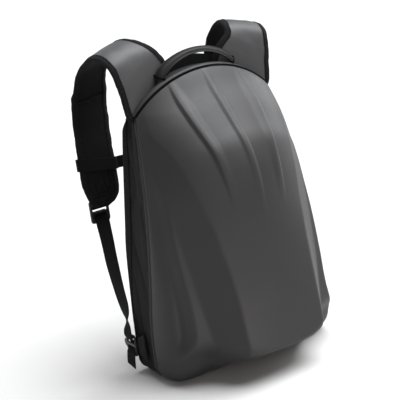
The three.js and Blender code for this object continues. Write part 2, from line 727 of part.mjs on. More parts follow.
function slottedShape(size, slots) {
  const half = size.width / 2;
  const shape = roundedRectangle(new THREE.Shape(), -half, 0, half, size.height, 4);
  for (const slot of slots) {
    shape.holes.push(roundedRectangle(new THREE.Path(), -slot.half, slot.from, slot.half, slot.to, 1.5));
  }
  return shape;
}

// Frame of the adjuster with a rounded thumb tab on one side
function thumbShape(size, slots) {
  const half = size.width / 2;
  const middle = size.height / 2;
  const corner = 3;
  const outline = [
    [-half + corner, 0], [half - corner, 0], [half, corner],
    [half, middle - THUMB_HEIGHT / 2], [half + 0.8 * THUMB_REACH, middle - THUMB_HEIGHT / 3],
    [half + THUMB_REACH, middle], [half + 0.8 * THUMB_REACH, middle + THUMB_HEIGHT / 3],
    [half, middle + THUMB_HEIGHT / 2], [half, size.height - corner],
    [half - corner, size.height], [-half + corner, size.height],
    [-half, size.height - corner], [-half, corner],
  ];
  const shape = new THREE.Shape(outline.map(([x, y]) => new THREE.Vector2(x, y)));
  shape.holes = slottedShape(size, slots).holes;
  return shape;
}

function ladderLock() {
  const matrix = new THREE.Matrix4().makeRotationX(Math.PI / 2)
    .setPosition(LOCK.x, LOCK.y + LOCK.thick / 2, LOCK.bottom);
  return plate(slottedShape(LOCK, LOCK_SLOTS), LOCK.thick, matrix);
}

function adjuster() {
  const axes = new THREE.Matrix4().makeBasis(
    new THREE.Vector3(0, 1, 0), new THREE.Vector3(0, 0, 1), new THREE.Vector3(1, 0, 0));
  axes.setPosition(ADJUSTER.x - ADJUSTER.thick / 2, ADJUSTER.y, ADJUSTER.bottom);
  return plate(thumbShape(ADJUSTER, ADJUSTER_SLOTS), ADJUSTER.thick, axes);
}

function wingTab() {
  const shape = new THREE.Shape([
    new THREE.Vector2(WING.front, WING.low), new THREE.Vector2(WING.back, WING.tipLow),
    new THREE.Vector2(WING.back, WING.tipHigh), new THREE.Vector2(WING.front, WING.high),
  ]);
  const axes = new THREE.Matrix4().makeBasis(
    new THREE.Vector3(0, 1, 0), new THREE.Vector3(0, 0, 1), new THREE.Vector3(1, 0, 0));
  axes.setPosition(WING.x, 0, 0);
  return plate(shape, WING.thick, axes);
}

// Chest strap: a band round each shoulder strap, webbing to the middle and a plain closed buckle
function chestFrame() {
  return leftPath.reduce((best, frame) =>
    (Math.abs(frame.mid.z - CHEST_Z) < Math.abs(best.mid.z - CHEST_Z) ? frame : best));
}

function chestLoop() {
  const frame = chestFrame();
  const a = frame.half + BINDING_WIDTH + 5 * GAP;
  const b = frame.thick + GAP;
  const corners = [
    [-a, -0.8 * b], [-0.7 * a, -b], [0.7 * a, -b], [a, -0.8 * b],
    [a, 0.8 * b], [0.7 * a, b], [-0.7 * a, b], [-a, 0.8 * b],
  ];
  const rings = corners.map(([s, u]) => {
    const at = (grow, along) => frame.mid.clone()
      .addScaledVector(frame.across, s + Math.sign(s) * grow)
      .addScaledVector(frame.out, u + Math.sign(u) * grow)
      .addScaledVector(frame.along, along - (CHEST_SLANT / 2) * (s / a));
    const half = CHEST_WIDTH / 2;
    return [at(0, -half), at(CHEST_THICK, -half), at(CHEST_THICK, half), at(0, half)];
  });
  return loft(rings, true);
}

function chestWeb() {
  const frame = chestFrame();
  const reach = frame.half + BINDING_WIDTH + CHEST_THICK + 6 * GAP;
  const start = frame.mid.clone()
    .addScaledVector(frame.across, -reach)
    .addScaledVector(frame.along, CHEST_SLANT / 2);
  const endX = CHEST_BUCKLE.width / 2 + 2 * GAP;
  const mids = [];
  const steps = 6;
  for (let i = 0; i <= steps; i += 1) {
    const t = i / steps;
    const x = start.x + (endX - start.x) * t;
    const sag = CHEST_SAG * smooth(t);
    mids.push(new THREE.Vector3(x, start.y + (CHEST_Y - start.y) * smooth(t), start.z - sag));
  }
  return strip(stripRows(mids, mids.map(() => new THREE.Vector3(0, 0, 1))), CHEST_WIDTH, CHEST_THICK);
}

function chestBuckle() {
  const { width, height, thick, round } = CHEST_BUCKLE;
  const shape = roundedRectangle(new THREE.Shape(), -width / 2, -height / 2, width / 2, height / 2, round);
  const matrix = new THREE.Matrix4().makeRotationX(Math.PI / 2)
    .setPosition(0, CHEST_Y + thick / 2, chestFrame().mid.z - CHEST_SLANT / 2 - CHEST_SAG);
  return plate(shape, thick, matrix);
}

const pack = new THREE.Group();
pack.name = 'hard_shell_backpack';

function add(name, geometry, finish) {
  const mesh = new THREE.Mesh(geometry, new THREE.MeshStandardMaterial(FINISH[finish]));
  mesh.name = name;
  pack.add(mesh);
}

function addPair(name, geometry, finish) {
  add(`right_${name}`, geometry, finish);
  add(`left_${name}`, mirrored(geometry), finish);
}

// Body
const lowerTop = SEAM_CORNER_Z - 2.4;
const lower = withNormals(lowerPoints(lowerTop), false);
const dome = withNormals(domePoints(SEAM_CORNER_X - 0.2, 24), false);
const around = withNormals([...lowerPoints(SEAM_CORNER_Z - 6), ...domePoints(SEAM_CORNER_X - 5, 22)], true);
const zipFront = (z) => rimY(z) + GAP;
const zipRear = (z) => zipFront(z) + ZIP_WIDTH;
const backFront = (z) => backY(z) - CORD_RADIUS - GAP;
const seamY = (z, x) => SEAM_Y - seamBulge(x) + CORD_RADIUS + GAP;
const yokeFront = (z, x) => seamY(z, x) + CORD_RADIUS + GAP;

add('front_shell', wall(shellSkin(0), shellSkin(SHELL_WALL)), 'shell');
add('main_zip', band(lower, zipFront, zipRear, ZIP_INSET, ZIP_INSET + CLOTH_WALL), 'zip');
add('side_gusset', band(lower, (z) => zipRear(z) + GAP, backFront, 0, CLOTH_WALL), 'cloth');
add('top_seam', cord(cordStations(dome, seamY), CORD_RADIUS, 6, false), 'webbing');
add('yoke_panel', band(dome, yokeFront, backFront, 0, YOKE_WALL), 'coated');
add('back_piping', cord(cordStations(around, backY), CORD_RADIUS, 6, true), 'webbing');
add('back_panel', backPanel(), 'mesh');
add('grab_handle', grabHandle(), 'coated');

// Shoulder straps and their hardware
add('right_strap_cover', strapFace(rightPath, 1), 'coated');
add('left_strap_cover', mirrored(strapFace(leftPath, 1)), 'coated');
add('right_strap_lining', strapFace(rightPath, -1), 'mesh');
add('left_strap_lining', mirrored(strapFace(leftPath, -1)), 'mesh');
add('right_strap_binding', strapBinding(rightPath), 'tape');
add('left_strap_binding', mirrored(strapBinding(leftPath)), 'tape');
addPair('tip_loop', tipLoop(), 'webbing');
addPair('ladder_lock', ladderLock(), 'plastic');
addPair('webbing', webbing(), 'webbing');
addPair('adjuster', adjuster(), 'plastic');
addPair('wing_tab', wingTab(), 'cloth');

// Chest strap
addPair('sternum_loop', chestLoop(), 'webbing');
addPair('sternum_web', chestWeb(), 'webbing');
add('sternum_buckle', chestBuckle(), 'plastic');

export default pack;
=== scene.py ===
"""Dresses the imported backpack: moulded shell, zip, cloth sides, padded back, straps, webbing and buckles.

Sizes are millimetres in the part's own frame (+Z up, -Y the shell side) until a mesh is made in metres.
"""
import math

import bmesh
import bpy
import numpy as np
from mathutils import Matrix, Vector


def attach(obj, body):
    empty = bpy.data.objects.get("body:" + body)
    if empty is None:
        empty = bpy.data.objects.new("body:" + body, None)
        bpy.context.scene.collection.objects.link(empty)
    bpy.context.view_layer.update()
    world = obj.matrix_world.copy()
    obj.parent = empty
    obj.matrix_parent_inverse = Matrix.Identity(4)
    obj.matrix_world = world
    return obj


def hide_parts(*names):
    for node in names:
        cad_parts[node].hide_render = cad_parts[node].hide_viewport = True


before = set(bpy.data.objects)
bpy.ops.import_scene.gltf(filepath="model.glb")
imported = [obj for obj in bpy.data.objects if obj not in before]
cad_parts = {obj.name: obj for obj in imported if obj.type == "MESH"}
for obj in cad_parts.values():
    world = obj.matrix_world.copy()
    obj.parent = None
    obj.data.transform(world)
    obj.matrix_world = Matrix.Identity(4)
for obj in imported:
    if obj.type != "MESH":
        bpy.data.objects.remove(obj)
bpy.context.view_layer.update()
MM = 0.001
BODY = "root"


def table(names, *rows):
    """Columns of a table by name"""
    return dict(zip(names.split(), np.array(rows, float).T))


# Driving sizes of the body
BASE_HALF = 157
CORNER_RADIUS = 24
SEAM_CORNER_X = 122
SEAM_CORNER_Z = 419
DOME_TOP_Z = 471
SHELL_WALL = 3
ZIP_WIDTH = 12.4
CORD_RADIUS = 1.5
CORD_INSET = 0.8
GAP = 0.3
SEAM_Y = -20
SEAM_BULGE = 10
SEAM_BULGE_FADE = 90
SEAM_CORD_RADIUS = 2.5
SEAM_CORD_INSET = -0.3
BACK_LIP = 18
BACK_LIP_START = 0.5

# Outline of the body from the base corner to the seam corner:
# half width, y of the shell rim, y of the back seam and y of the padded back face
OUTLINE = table(
    "z half rim back pad",
    (0, 157, -30.5, 31, 36),
    (30, 157, -30.5, 31, 36),
    (70, 156.6, -30.5, 31, 36.5),
    (106, 155, -33.5, 30.5, 37.5),
    (150, 152.4, -40.5, 24.5, 41),
    (205, 148.8, -46.5, 16, 43),
    (258, 144.4, -49, 9, 38),
    (313, 139, -46.5, 5, 33.5),
    (360, 133, -38.5, 6, 31.5),
    (392, 127.6, -30, 9, 31),
    (419, 122, -20, 12, 31),
)

# Front profile of the shell: depth of its middle line against the drop below the dome seam
PROFILE = table(
    "drop y",
    (0, -20), (25, -42), (52, -71), (79, -98), (98, -115), (115, -125.5), (140, -136), (171, -143.5),
    (215, -149.5), (256, -153.5), (304, -160.5), (353, -168), (400, -173.5), (471, -177),
)

# Long crease on each side: half spacing, how far it lies behind the middle line,
# y of the flank's outer edge, and the spacing that places the ribs
CREASE = table(
    "z x behind edge ribs",
    (0, 70, 3, -79, 72), (75, 70, 3.4, -78, 72), (118, 70.5, 4.5, -76.5, 73), (140, 70.8, 4.6, -75, 73.5),
    (167, 72.1, 6.2, -72.5, 74), (190, 74.2, 8.3, -70, 76), (215, 77.3, 12, -67, 78),
    (243, 81.2, 17, -63, 82), (270, 87, 22.6, -59, 86), (300, 93.7, 26, -55.5, 92),
    (326, 100.5, 27.6, -52, 98), (350, 107.1, 24.7, -48, 106), (374, 115.3, 16.5, -43, 114),
    (392, 119.8, 9, -36, 117), (405, 119.5, 4, -30, 118), (419, 117.5, 0, -22, 117.5),
)

# Leaf-shaped step on the flank: where it and the knee inside it lie between the crease (0) and the edge (1)
STEP = table(
    "z across",
    (34, 1), (48, 0.93), (62, 0.83), (76, 0.755), (97, 0.715), (129, 0.723), (176, 0.759), (217, 0.783),
    (243, 0.783), (263, 0.766), (300, 0.757), (337, 0.803), (370, 0.82),
)
KNEE = table(
    "z across fall",
    (40, 0.3, 0.7), (60, 0.33, 0.71), (77, 0.377, 0.73), (110, 0.438, 0.77), (153, 0.518, 0.78),
    (196, 0.565, 0.78), (243, 0.62, 0.78), (291, 0.63, 0.78),
)
# Step: its width, its share of the fall, the span that it grows over and where it fades out
STEP_WIDTH = 7
STEP_FALL = 0.3
STEP_SPAN = 0.3
STEP_FADE, STEP_TO = 320, 375
# Blur of all edges, its reach in blur widths, and how far the crease keeps from the side
SOFTEN = 2.1
SOFTEN_REACH = 3
CREASE_CLEAR = 4

# Ribs over the dome, placed as a share of the crease spacing, with inner and outer foot widths
RIBS = (
    {"place": 0, "crest": 0.012, "inner": 0.08, "outer": 0.08, "height": 3.3, "end": 240},
    {"place": 0.52, "crest": 0.015, "inner": 0.13, "outer": 0.052, "height": 4.1, "end": 252},
)
RIB_FADE = 110
RIB_START = 36
RIB_RISE_POWER = 0.7
RIB_SLENDER = 0.5
SIDE_ROUND = 14

# Underside of the shell, against the share of the half width: height of its front corner, softness of that
# corner and how much the underside is arched
BASE_ROUND = table(
    "share height soft power",
    (0, 46, 0.2, 1.1), (0.3, 47, 0.24, 1.05), (0.45, 50, 0.4, 0.86), (0.52, 46, 0.6, 0.6),
    (0.6, 36, 0.8, 0.42), (0.7, 29, 1, 0.35), (0.88, 24, 1, 0.36), (1, 21, 1, 0.46),
)

# Grid of the shell: height of the closer rows near the base, rows there and above,
# and columns for the blur, the front and the side
BASE_ROWS_TOP = 112
BASE_ROWS, FRONT_ROWS = 46, 120
BLUR_COLUMNS, FRONT_COLUMNS, SIDE_COLUMNS = 240, 96, 12

# Shoulder strap from the yoke to the tip: inner and outer edge of each section on one side,
# its bow and half thickness, and how much nearer, lower and slimmer the +X strap hangs than the -X one
STRAP = table(
    "ix iy iz ox oy oz bow thick near low slim",
    (39, 6.3, 462, 121, -9.6, 412, 4.6, 5, 0, 0, 0),
    (42, 6, 470, 129, -9.5, 419, 4.2, 5, 0, 0, 0),
    (51, 5, 494, 133.5, -9, 446, 2.6, 5, 0, 0, 6),
    (61.5, 6, 508.5, 138, -7.5, 470, 1, 5, 0, 0, 12),
    (72, 14, 518, 142.5, -1, 495, 0, 5, 0, 0, 5),
    (83, 30, 525, 146.5, 17, 508, 0, 5, 1, 2, 0),
    (88, 52, 525.5, 149, 42, 509.5, 0, 5, 4, 3.6, 0),
    (90, 82, 514, 149.5, 74, 497, 0, 5, 10, 5, 0),
    (90, 108, 494, 149.5, 98, 481, 0, 5, 18, 5, 0),
    (90.5, 128, 462, 150, 116, 455, 0, 5, 20, 6, 0),
    (92, 135, 428, 152, 128, 428, 0, 5, 12, 2, 0),
    (95, 132.5, 392, 154.5, 131, 394, 0, 5, 4, 0, 0),
    (98, 128.5, 355, 156.5, 129, 357, 0, 5, 0, 0, 0),
    (99.5, 125, 322, 158, 127.5, 324, 0, 5, 0, 0, 0),
    (99.5, 124, 296, 158, 127, 298, 0, 4.6, 0, 0, 0),
    (100.5, 124.5, 278, 153.5, 126, 279, 0, 4, 0, 0, 0),
    (108, 125, 265.5, 149, 125, 265.5, 0, 3.4, 0, 0, 0),
    (122, 125, 258.2, 140.5, 125, 258.6, 0, 3.2, 0, 0, 0),
)
STRAP_EDGE_SHARE = 0.44
STRAP_DOME_POWER = 3
FILLING_POWER = 4
# Fold where the strap turns down: its place along the strap, how far the edges stand out and its length
STRAP_KINK = {"run": 238, "reach": 2.4, "length": 9}
# Uneven edge and uneven filling of a strap: size, length of a wave, waves across and start of the noise
STRAP_WAVER = {"size": 1.2, "length": 15, "across": 0, "start": 0}
STRAP_FILLING = {"size": 0.9, "length": 17, "across": 2.2, "start": 3}
SEEDS = {"edge": 27, "cover": 21, "lining": 22, "tape": 23, "tape_edge": 63}
STRAP_SPLIT = 0.2
STRAP_STEPS = 360
STRAP_COLUMNS = 61

# Grab handle on the +X side: front lower edge and rear upper edge of each section, from foot to apex
HANDLE = table(
    "ix iy iz ox oy oz",
    (63, -16.5, 462.6, 75, -6, 457.6),
    (60, -17, 468.5, 72, -5, 469.5),
    (54, -17, 474.5, 65, -4.5, 479.5),
    (45, -17.5, 481, 54, -4.5, 487.5),
    (33, -18, 487, 40, -5.5, 494),
    (18, -18, 491.8, 21, -7, 499.5),
    (0, -18, 493.6, 0, -8, 501.5),
)

# Adjusting webbing on the +X side, from the ladder lock to its tail:
# middle line and the turn of its width from +X towards -Y (degrees)
WEBBING = table(
    "x y z turn",
    (134, 141.2, 247.4, 0), (134, 137.6, 243.2, 0), (134, 133.6, 240, 0), (134, 130.4, 236.4, 0),
    (134.2, 129.2, 231.6, 2), (135, 126, 222.4, 6), (138, 116, 199, 12), (142, 105, 174, 17),
    (147, 90, 151, 24), (151.5, 74.5, 128, 32), (156, 58, 106, 40), (161, 47, 93, 54),
    (165.7, 38.5, 79, 80), (167.6, 36.4, 68, 90), (166.8, 36, 60.6, 90), (163, 36, 55.6, 90),
    (159.6, 36, 51.6, 90), (159, 36, 48, 90), (159.6, 36, 44.4, 90), (163, 36, 40.4, 90),
    (166.8, 36, 35.4, 90), (168, 37, 27, 90), (168.2, 40, 11, 90),
)
WEBBING_STEPS = 7
WEBBING_WIDTH = 25.4
WEBBING_THICK = 1.6

# Ladder lock at the strap tip and adjuster at the base corner: outer size, radius of the corners,
# rounding of the edges, and slots from the bottom up
LOCK = {
    "x": 134, "y": 135.2, "bottom": 229, "width": 35, "height": 39, "thick": 4, "corner": 5, "edge": 1.2,
}
LOCK_SLOTS = ({"low": 8, "high": 14.6, "half": 11.6}, {"low": 18.6, "high": 26.6, "half": 13})
ADJUSTER = {
    "x": 163.3, "y": 36, "bottom": 30, "width": 27.4, "height": 36, "thick": 3.6,
    "corner": 3.5, "edge": 1.1,
}
ADJUSTER_SLOTS = ({"low": 5, "high": 15.5, "half": 12.4}, {"low": 20.5, "high": 31, "half": 12.4})
SLOT_CORNER = 1.5
CORNER_POINTS = 6
THUMB_REACH = 9
THUMB_HEIGHT = 16
THUMB_POINTS = 13
PLATE_BEVEL_STEPS = 3
PLATE_WELD = 1e-4

# Loop that holds the ladder lock to the strap tip: side profile behind the strap cover
TIP_LOOP = table(
    "y z",
    (131.2, 292), (131.6, 276), (132, 258.4), (133.4, 253.8), (136, 252.8), (138.6, 254), (139.4, 258.4),
    (138.6, 269.6), (135, 275), (133.6, 281), (133.1, 292),
)
TIP_LOOP_WIDTH = 25
TIP_LOOP_THICK = 1.3
TIP_LOOP_STEPS = 60

# Wing tab: corners on the gusset side and at the adjuster, and how it puffs out between its edges
WING = {
    "front": -2, "back": 21.9, "low": 29, "high": 74, "tip_low": 34, "tip_high": 62, "x": 157.3, "thick": 4,
}
WING_ROWS, WING_COLUMNS = 21, 31
WING_PUFF = {"power": 0.4, "ends": 0.35, "lift": 0.1, "hem": 0.3}
WING_CRUMPLE = {"size": 0.9, "along": 6, "up": 7, "seed": 31}

# Chest strap: height on the shoulder straps, size of the band, its sag and slant, depth of its middle,
# overlap with the buckle, steps along it, and the powers that box its loop round a strap
CHEST_Z = 328
CHEST_WIDTH = 20
CHEST_THICK = 1.5
CHEST_SAG = 4
CHEST_SLANT = 8
CHEST_Y = 121
CHEST_OVERLAP = 6
CHEST_STEPS = 25
CHEST_LOOP = {"points": 64, "across": 0.35, "out": 0.5}
BINDING_REACH = 4.7
# Chest buckle: outer size, where the socket ends and the plug starts, and the slots for the webbing.
# The tongue and the two arms join them: both ends, inset from the outer edge, width and corner radius
CHEST_BUCKLE = {
    "width": 52, "height": 27, "thick": 9, "corner": 4, "socket": 2, "plug": 12, "rim": 4, "slot": 4,
}
TONGUE = {"left": -2, "right": 14, "inset": 8, "corner": 2}
ARM = {"left": -6, "right": 16, "inset": 2.8, "half": 2.4, "corner": 2.2}
# Plates of the chest buckle: share of its thickness and rounding of their edges
BUCKLE_PLATES = {"socket": (1, 2), "plug": (0.8, 1.8), "inner": (0.6, 1.4)}

# Camera of the photograph
VIEW = {
    "azimuth": -30.5, "elevation": 16, "roll": 8.2, "distance": 1780,
    "lens": 102.6, "sensor": 36, "target": (-38, -29, 268.5),
}


# Curves and tables


def column(rows, key, name):
    """Smooth value of one table column, held at both ends"""
    xs, ys = rows[key], rows[name]
    before = np.maximum(np.arange(len(xs)) - 1, 0)
    after = np.minimum(np.arange(len(xs)) + 1, len(xs) - 1)
    slope = (ys[after] - ys[before]) / (xs[after] - xs[before])

    def at(x):
        x = np.clip(x, xs[0], xs[-1])
        i = np.clip(np.searchsorted(xs, x, side="right") - 1, 0, len(xs) - 2)
        span = xs[i + 1] - xs[i]
        t = (x - xs[i]) / span
        bend = t * (1 - t) ** 2 * span * slope[i] + t * t * (t - 1) * span * slope[i + 1]
        return ys[i] + (ys[i + 1] - ys[i]) * t * t * (3 - 2 * t) + bend

    return at


def smooth(value):
    t = np.clip(value, 0, 1)
    return t * t * (3 - 2 * t)


def unit(vectors):
    return vectors / np.linalg.norm(vectors, axis=-1, keepdims=True)


def curve(points, steps):
    """Centripetal Catmull-Rom curve through points, sampled evenly from point to point"""
    points = np.asarray(points, float)
    ends = np.vstack([2 * points[0] - points[1], points, 2 * points[-1] - points[-2]])
    t = np.linspace(0, len(points) - 1, steps + 1)
    i = np.minimum(t.astype(int), len(points) - 2)
    w = (t - i)[:, None]
    a, b, c, d = (ends[i + k] for k in range(4))
    pairs = ((a, b), (b, c), (c, d))
    ab, bc, cd = (np.sqrt(np.linalg.norm(q - p, axis=1, keepdims=True)) for p, q in pairs)
    start = ((b - a) / ab - (c - a) / (ab + bc) + (c - b) / bc) * bc
    end = ((c - b) / bc - (d - b) / (bc + cd) + (d - c) / cd) * bc
    return (
        b * (2 * w**3 - 3 * w**2 + 1)
        + c * (3 * w**2 - 2 * w**3)
        + start * (w**3 - 2 * w**2 + w)
        + end * (w**3 - w**2)
    )


def lengths(points):
    """Distance along a row of points"""
    return np.concatenate([[0], np.cumsum(np.linalg.norm(np.diff(points, axis=0), axis=1))])


def interpolated(at, run, rows):
    """Rows of points or directions at distances along them"""
    return np.stack([np.interp(at, run, part) for part in rows.T], -1)


def points_of(rows, edge=""):
    """Points of a table with x, y and z columns"""
    return np.stack([rows[edge + axis] for axis in "xyz"], -1)


def boxed(value, power):
    """Signed power, which turns a circle into a rounded box"""
    return np.sign(value) * np.abs(value) ** power


NOISE_CELLS = 64


def value_noise(u, v, seed):
    """Smooth noise from 0 to 1 with one cell for each unit of u and v"""
    lattice = np.random.default_rng(seed).random((NOISE_CELLS, NOISE_CELLS))
    i, j = np.floor(u).astype(int), np.floor(v).astype(int)
    a, b = smooth(u - i), smooth(v - j)

    def between(row):
        here, after = (lattice[k % NOISE_CELLS, row % NOISE_CELLS] for k in (i, i + 1))
        return here * (1 - a) + after * a

    return between(j) * (1 - b) + between(j + 1) * b


def uneven(kind, run, across, seed):
    """Noise along and across a strip, as far either way as half the size of its kind"""
    noise = value_noise(run / kind["length"], kind["across"] * across + kind["start"], seed)
    return kind["size"] * (noise - 0.5)


half_width = column(OUTLINE, "z", "half")
rim_y = column(OUTLINE, "z", "rim")
back_y = column(OUTLINE, "z", "back")
pad_y = column(OUTLINE, "z", "pad")
profile_y = column(PROFILE, "drop", "y")
crease_x = column(CREASE, "z", "x")
crease_behind = column(CREASE, "z", "behind")
rib_spacing = column(CREASE, "z", "ribs")
flank_edge_y = column(CREASE, "z", "edge")
step_across = column(STEP, "z", "across")
knee_across = column(KNEE, "z", "across")
knee_fall = column(KNEE, "z", "fall")
base_round = column(BASE_ROUND, "share", "height")
base_soft = column(BASE_ROUND, "share", "soft")
base_power = column(BASE_ROUND, "share", "power")

DOME_RISE = DOME_TOP_Z - SEAM_CORNER_Z
DOME_RADIUS = (SEAM_CORNER_X**2 + DOME_RISE**2) / (2 * DOME_RISE)
DOME_CENTRE_Z = DOME_TOP_Z - DOME_RADIUS


def dome_z(x):
    return DOME_CENTRE_Z + np.sqrt(DOME_RADIUS**2 - x**2)


def base_z(x):
    past = np.maximum(np.abs(x) - (BASE_HALF - CORNER_RADIUS), 0)
    return CORNER_RADIUS - np.sqrt(np.maximum(CORNER_RADIUS**2 - past**2, 0))


def seam_bulge(x):
    """How far the seam over the dome stands forward of its corners"""
    return SEAM_BULGE * (1 - (x / SEAM_CORNER_X) ** 2)


def side_height(v):
    return CORNER_RADIUS + v * (SEAM_CORNER_Z - CORNER_RADIUS)


# Materials


class Surface:
    """Node tree of one material, with short calls that add and link nodes"""

    def __init__(self, name, roughness, sheen=0.0, specular=0.5):
        self.material = bpy.data.materials.new(name)
        self.material.use_nodes = True
        self.tree = self.material.node_tree
        self.shader = self.tree.nodes["Principled BSDF"]
        self.shader.inputs["Roughness"].default_value = roughness
        self.shader.inputs["Specular IOR Level"].default_value = specular
        self.shader.inputs["Sheen Weight"].default_value = sheen
        self.place = self.add("ShaderNodeTexCoord").outputs["Object"]
        uv = self.add("ShaderNodeSeparateXYZ", {"Vector": self.add("ShaderNodeUVMap").outputs["UV"]})
        self.along, self.across = uv.outputs["X"], uv.outputs["Y"]

    def add(self, kind, inputs=None, **settings):
        node = self.tree.nodes.new(kind)
        for key, value in settings.items():
            setattr(node, key, value)
        for key, value in (inputs or {}).items():
            if isinstance(value, bpy.types.NodeSocket):
                self.tree.links.new(value, node.inputs[key])
            else:
                node.inputs[key].default_value = value
        return node

    def math(self, operation, first, second=0.0):
        return self.add("ShaderNodeMath", {0: first, 1: second}, operation=operation).outputs["Value"]

    def noise(self, size_mm, detail=2.0):
        """Noise with spots of about the given size"""
        inputs = {"Vector": self.place, "Scale": 1 / (size_mm * MM), "Detail": detail}
        return self.add("ShaderNodeTexNoise", inputs).outputs["Fac"]

    def cells(self, size_mm):
        """Distance to the nearest of many points about the given size apart"""
        inputs = {"Vector": self.place, "Scale": 1 / (size_mm * MM)}
        return self.add("ShaderNodeTexVoronoi", inputs).outputs["Distance"]

    def wave(self, way, pitch_mm):
        """Sine from -1 to 1 along one way of the cloth"""
        return self.math("SINE", self.math("MULTIPLY", way, 2 * math.pi / pitch_mm))

    def span(self, value, low, high, start=0.0, end=1.0):
        """Value mapped from start..end to low..high"""
        inputs = {"Value": value, "From Min": start, "From Max": end, "To Min": low, "To Max": high}
        return self.add("ShaderNodeMapRange", inputs).outputs["Result"]

    def colour(self, value, dark, light):
        """Base colour from dark to light"""
        mix = self.add("ShaderNodeMix", {"Factor": value}, data_type="RGBA")
        for socket in mix.inputs:
            if socket.type == "RGBA":
                socket.default_value = (*dark, 1) if socket.name == "A" else (*light, 1)
        result = next(socket for socket in mix.outputs if socket.type == "RGBA")
        self.tree.links.new(result, self.shader.inputs["Base Color"])

    def rough(self, value):
        self.tree.links.new(value, self.shader.inputs["Roughness"])

    def relief(self, *layers):
        """Bump from layers of (height, depth in mm), one on the other"""
        normal = None
        for height, depth in layers:
            inputs = {"Height": height, "Distance": depth * MM, "Strength": 1.0}
            if normal:
                inputs["Normal"] = normal
            normal = self.add("ShaderNodeBump", inputs).outputs["Normal"]
        self.tree.links.new(normal, self.shader.inputs["Normal"])


def shell_surface():
    """Matte soft-touch moulded skin with a fine grain"""
    made = Surface("shell_soft_touch", 0.5, specular=0.31)
    made.colour(made.noise(38, 3), (0.0197, 0.0191, 0.0193), (0.0235, 0.0227, 0.0229))
    made.rough(made.span(made.noise(6, 3), 0.46, 0.56))
    made.relief((made.noise(0.5, 2), 0.02), (made.cells(1.1), 0.012))
    return made.material


def coated_surface(name, dark, light, specular=0.4):
    """Coated cloth with a pebbled leather grain"""
    made = Surface(name, 0.55, specular=specular)
    grain = made.cells(0.9)
    made.colour(made.noise(14, 4), dark, light)
    made.rough(made.span(grain, 0.5, 0.6))
    made.relief((made.noise(5, 3), 0.12), (grain, 0.05))
    return made.material


def cloth_surface():
    """Plain weave, matt, with faint blotches from handling"""
    made = Surface("plain_weave", 0.9, specular=0.3)
    weave = made.math("MULTIPLY", made.wave(made.along, 1.1), made.wave(made.across, 1.1))
    shade = made.math("ADD", made.span(weave, 0, 0.45, -1, 1), made.span(made.noise(9, 4), 0, 0.55))
    made.colour(shade, (0.0032, 0.0032, 0.0034), (0.0082, 0.0081, 0.0086))
    made.relief((made.noise(7, 3), 0.25), (weave, 0.09))
    return made.material


def zip_surface():
    """Woven zip tape with a fine rib across it"""
    made = Surface("zip_tape", 0.7, sheen=0.05)
    rib = made.wave(made.along, 1.5)
    made.colour(made.span(rib, 0, 1, -1, 1), (0.003, 0.003, 0.0034), (0.008, 0.008, 0.0085))
    made.relief((rib, 0.12), (made.noise(0.6, 2), 0.05))
    return made.material


def mesh_surface():
    """Spacer mesh: staggered open holes between knitted ridges"""
    made = Surface("spacer_mesh", 0.9, specular=0.18)
    ridge = made.math("MULTIPLY", made.wave(made.along, 4.2), made.wave(made.across, 3.4))
    hole = made.span(ridge, 0, 1, -0.35, 0.5)
    made.colour(hole, (0.0007, 0.0007, 0.0008), (0.0042, 0.0043, 0.0048))
    made.relief((hole, 0.5), (made.noise(0.7, 2), 0.12))
    return made.material


def tape_surface():
    """Dark woven binding with pale flecks of lint"""
    made = Surface("binding_tape", 0.95, specular=0.2)
    rib = made.wave(made.along, 1.5)
    fleck = made.span(made.noise(1.5, 3), 0, 0.85, 0.48, 0.72)
    shade = made.math("ADD", made.span(rib, 0, 0.12, -1, 1), fleck)
    made.colour(shade, (0.0015, 0.0015, 0.0017), (0.0145, 0.0145, 0.015))
    made.relief((made.noise(1.8, 3), 0.35), (rib, 0.12))
    return made.material


def webbing_surface():
    """Heavy webbing with ribs across and a fine line along it"""
    made = Surface("ribbed_webbing", 0.9, sheen=0.01, specular=0.13)
    rib = made.wave(made.along, 1.9)
    line = made.wave(made.across, 2.4)
    weave = made.math("ADD", rib, made.math("MULTIPLY", line, 0.6))
    made.colour(made.span(weave, 0, 1, -1.6, 1.6), (0.0011, 0.0011, 0.0013), (0.0046, 0.0046, 0.005))
    made.relief((weave, 0.12), (made.noise(0.5, 2), 0.04))
    return made.material


def thread_surface():
    """Grey twisted sewing thread"""
    made = Surface("sewing_thread", 0.8, specular=0.3)
    made.colour(made.noise(0.8, 2), (0.006, 0.006, 0.0065), (0.02, 0.02, 0.021))
    made.relief((made.noise(0.4, 2), 0.1))
    return made.material


def painted_shade_cord_surface():
    """Black cord with a slanting twist, near-black as painted shade of the deep seam it lies in and of the
    slits at the handle's feet
    """
    made = Surface("seam_cord", 0.95, specular=0.08)
    twist = made.wave(made.math("ADD", made.along, made.across), 2.2)
    made.colour(made.span(twist, 0, 1, -1, 1), (0.0005, 0.0005, 0.0006), (0.0018, 0.0018, 0.002))
    made.relief((twist, 0.2))
    return made.material


def plastic_surface():
    """Satin moulded plastic with a spark-eroded grain"""
    made = Surface("moulded_plastic", 0.42)
    made.colour(made.noise(3, 3), (0.006, 0.006, 0.0066), (0.0095, 0.0095, 0.01))
    made.rough(made.span(made.noise(1.2, 3), 0.36, 0.5))
    made.relief((made.noise(0.35, 2), 0.02))
    return made.material


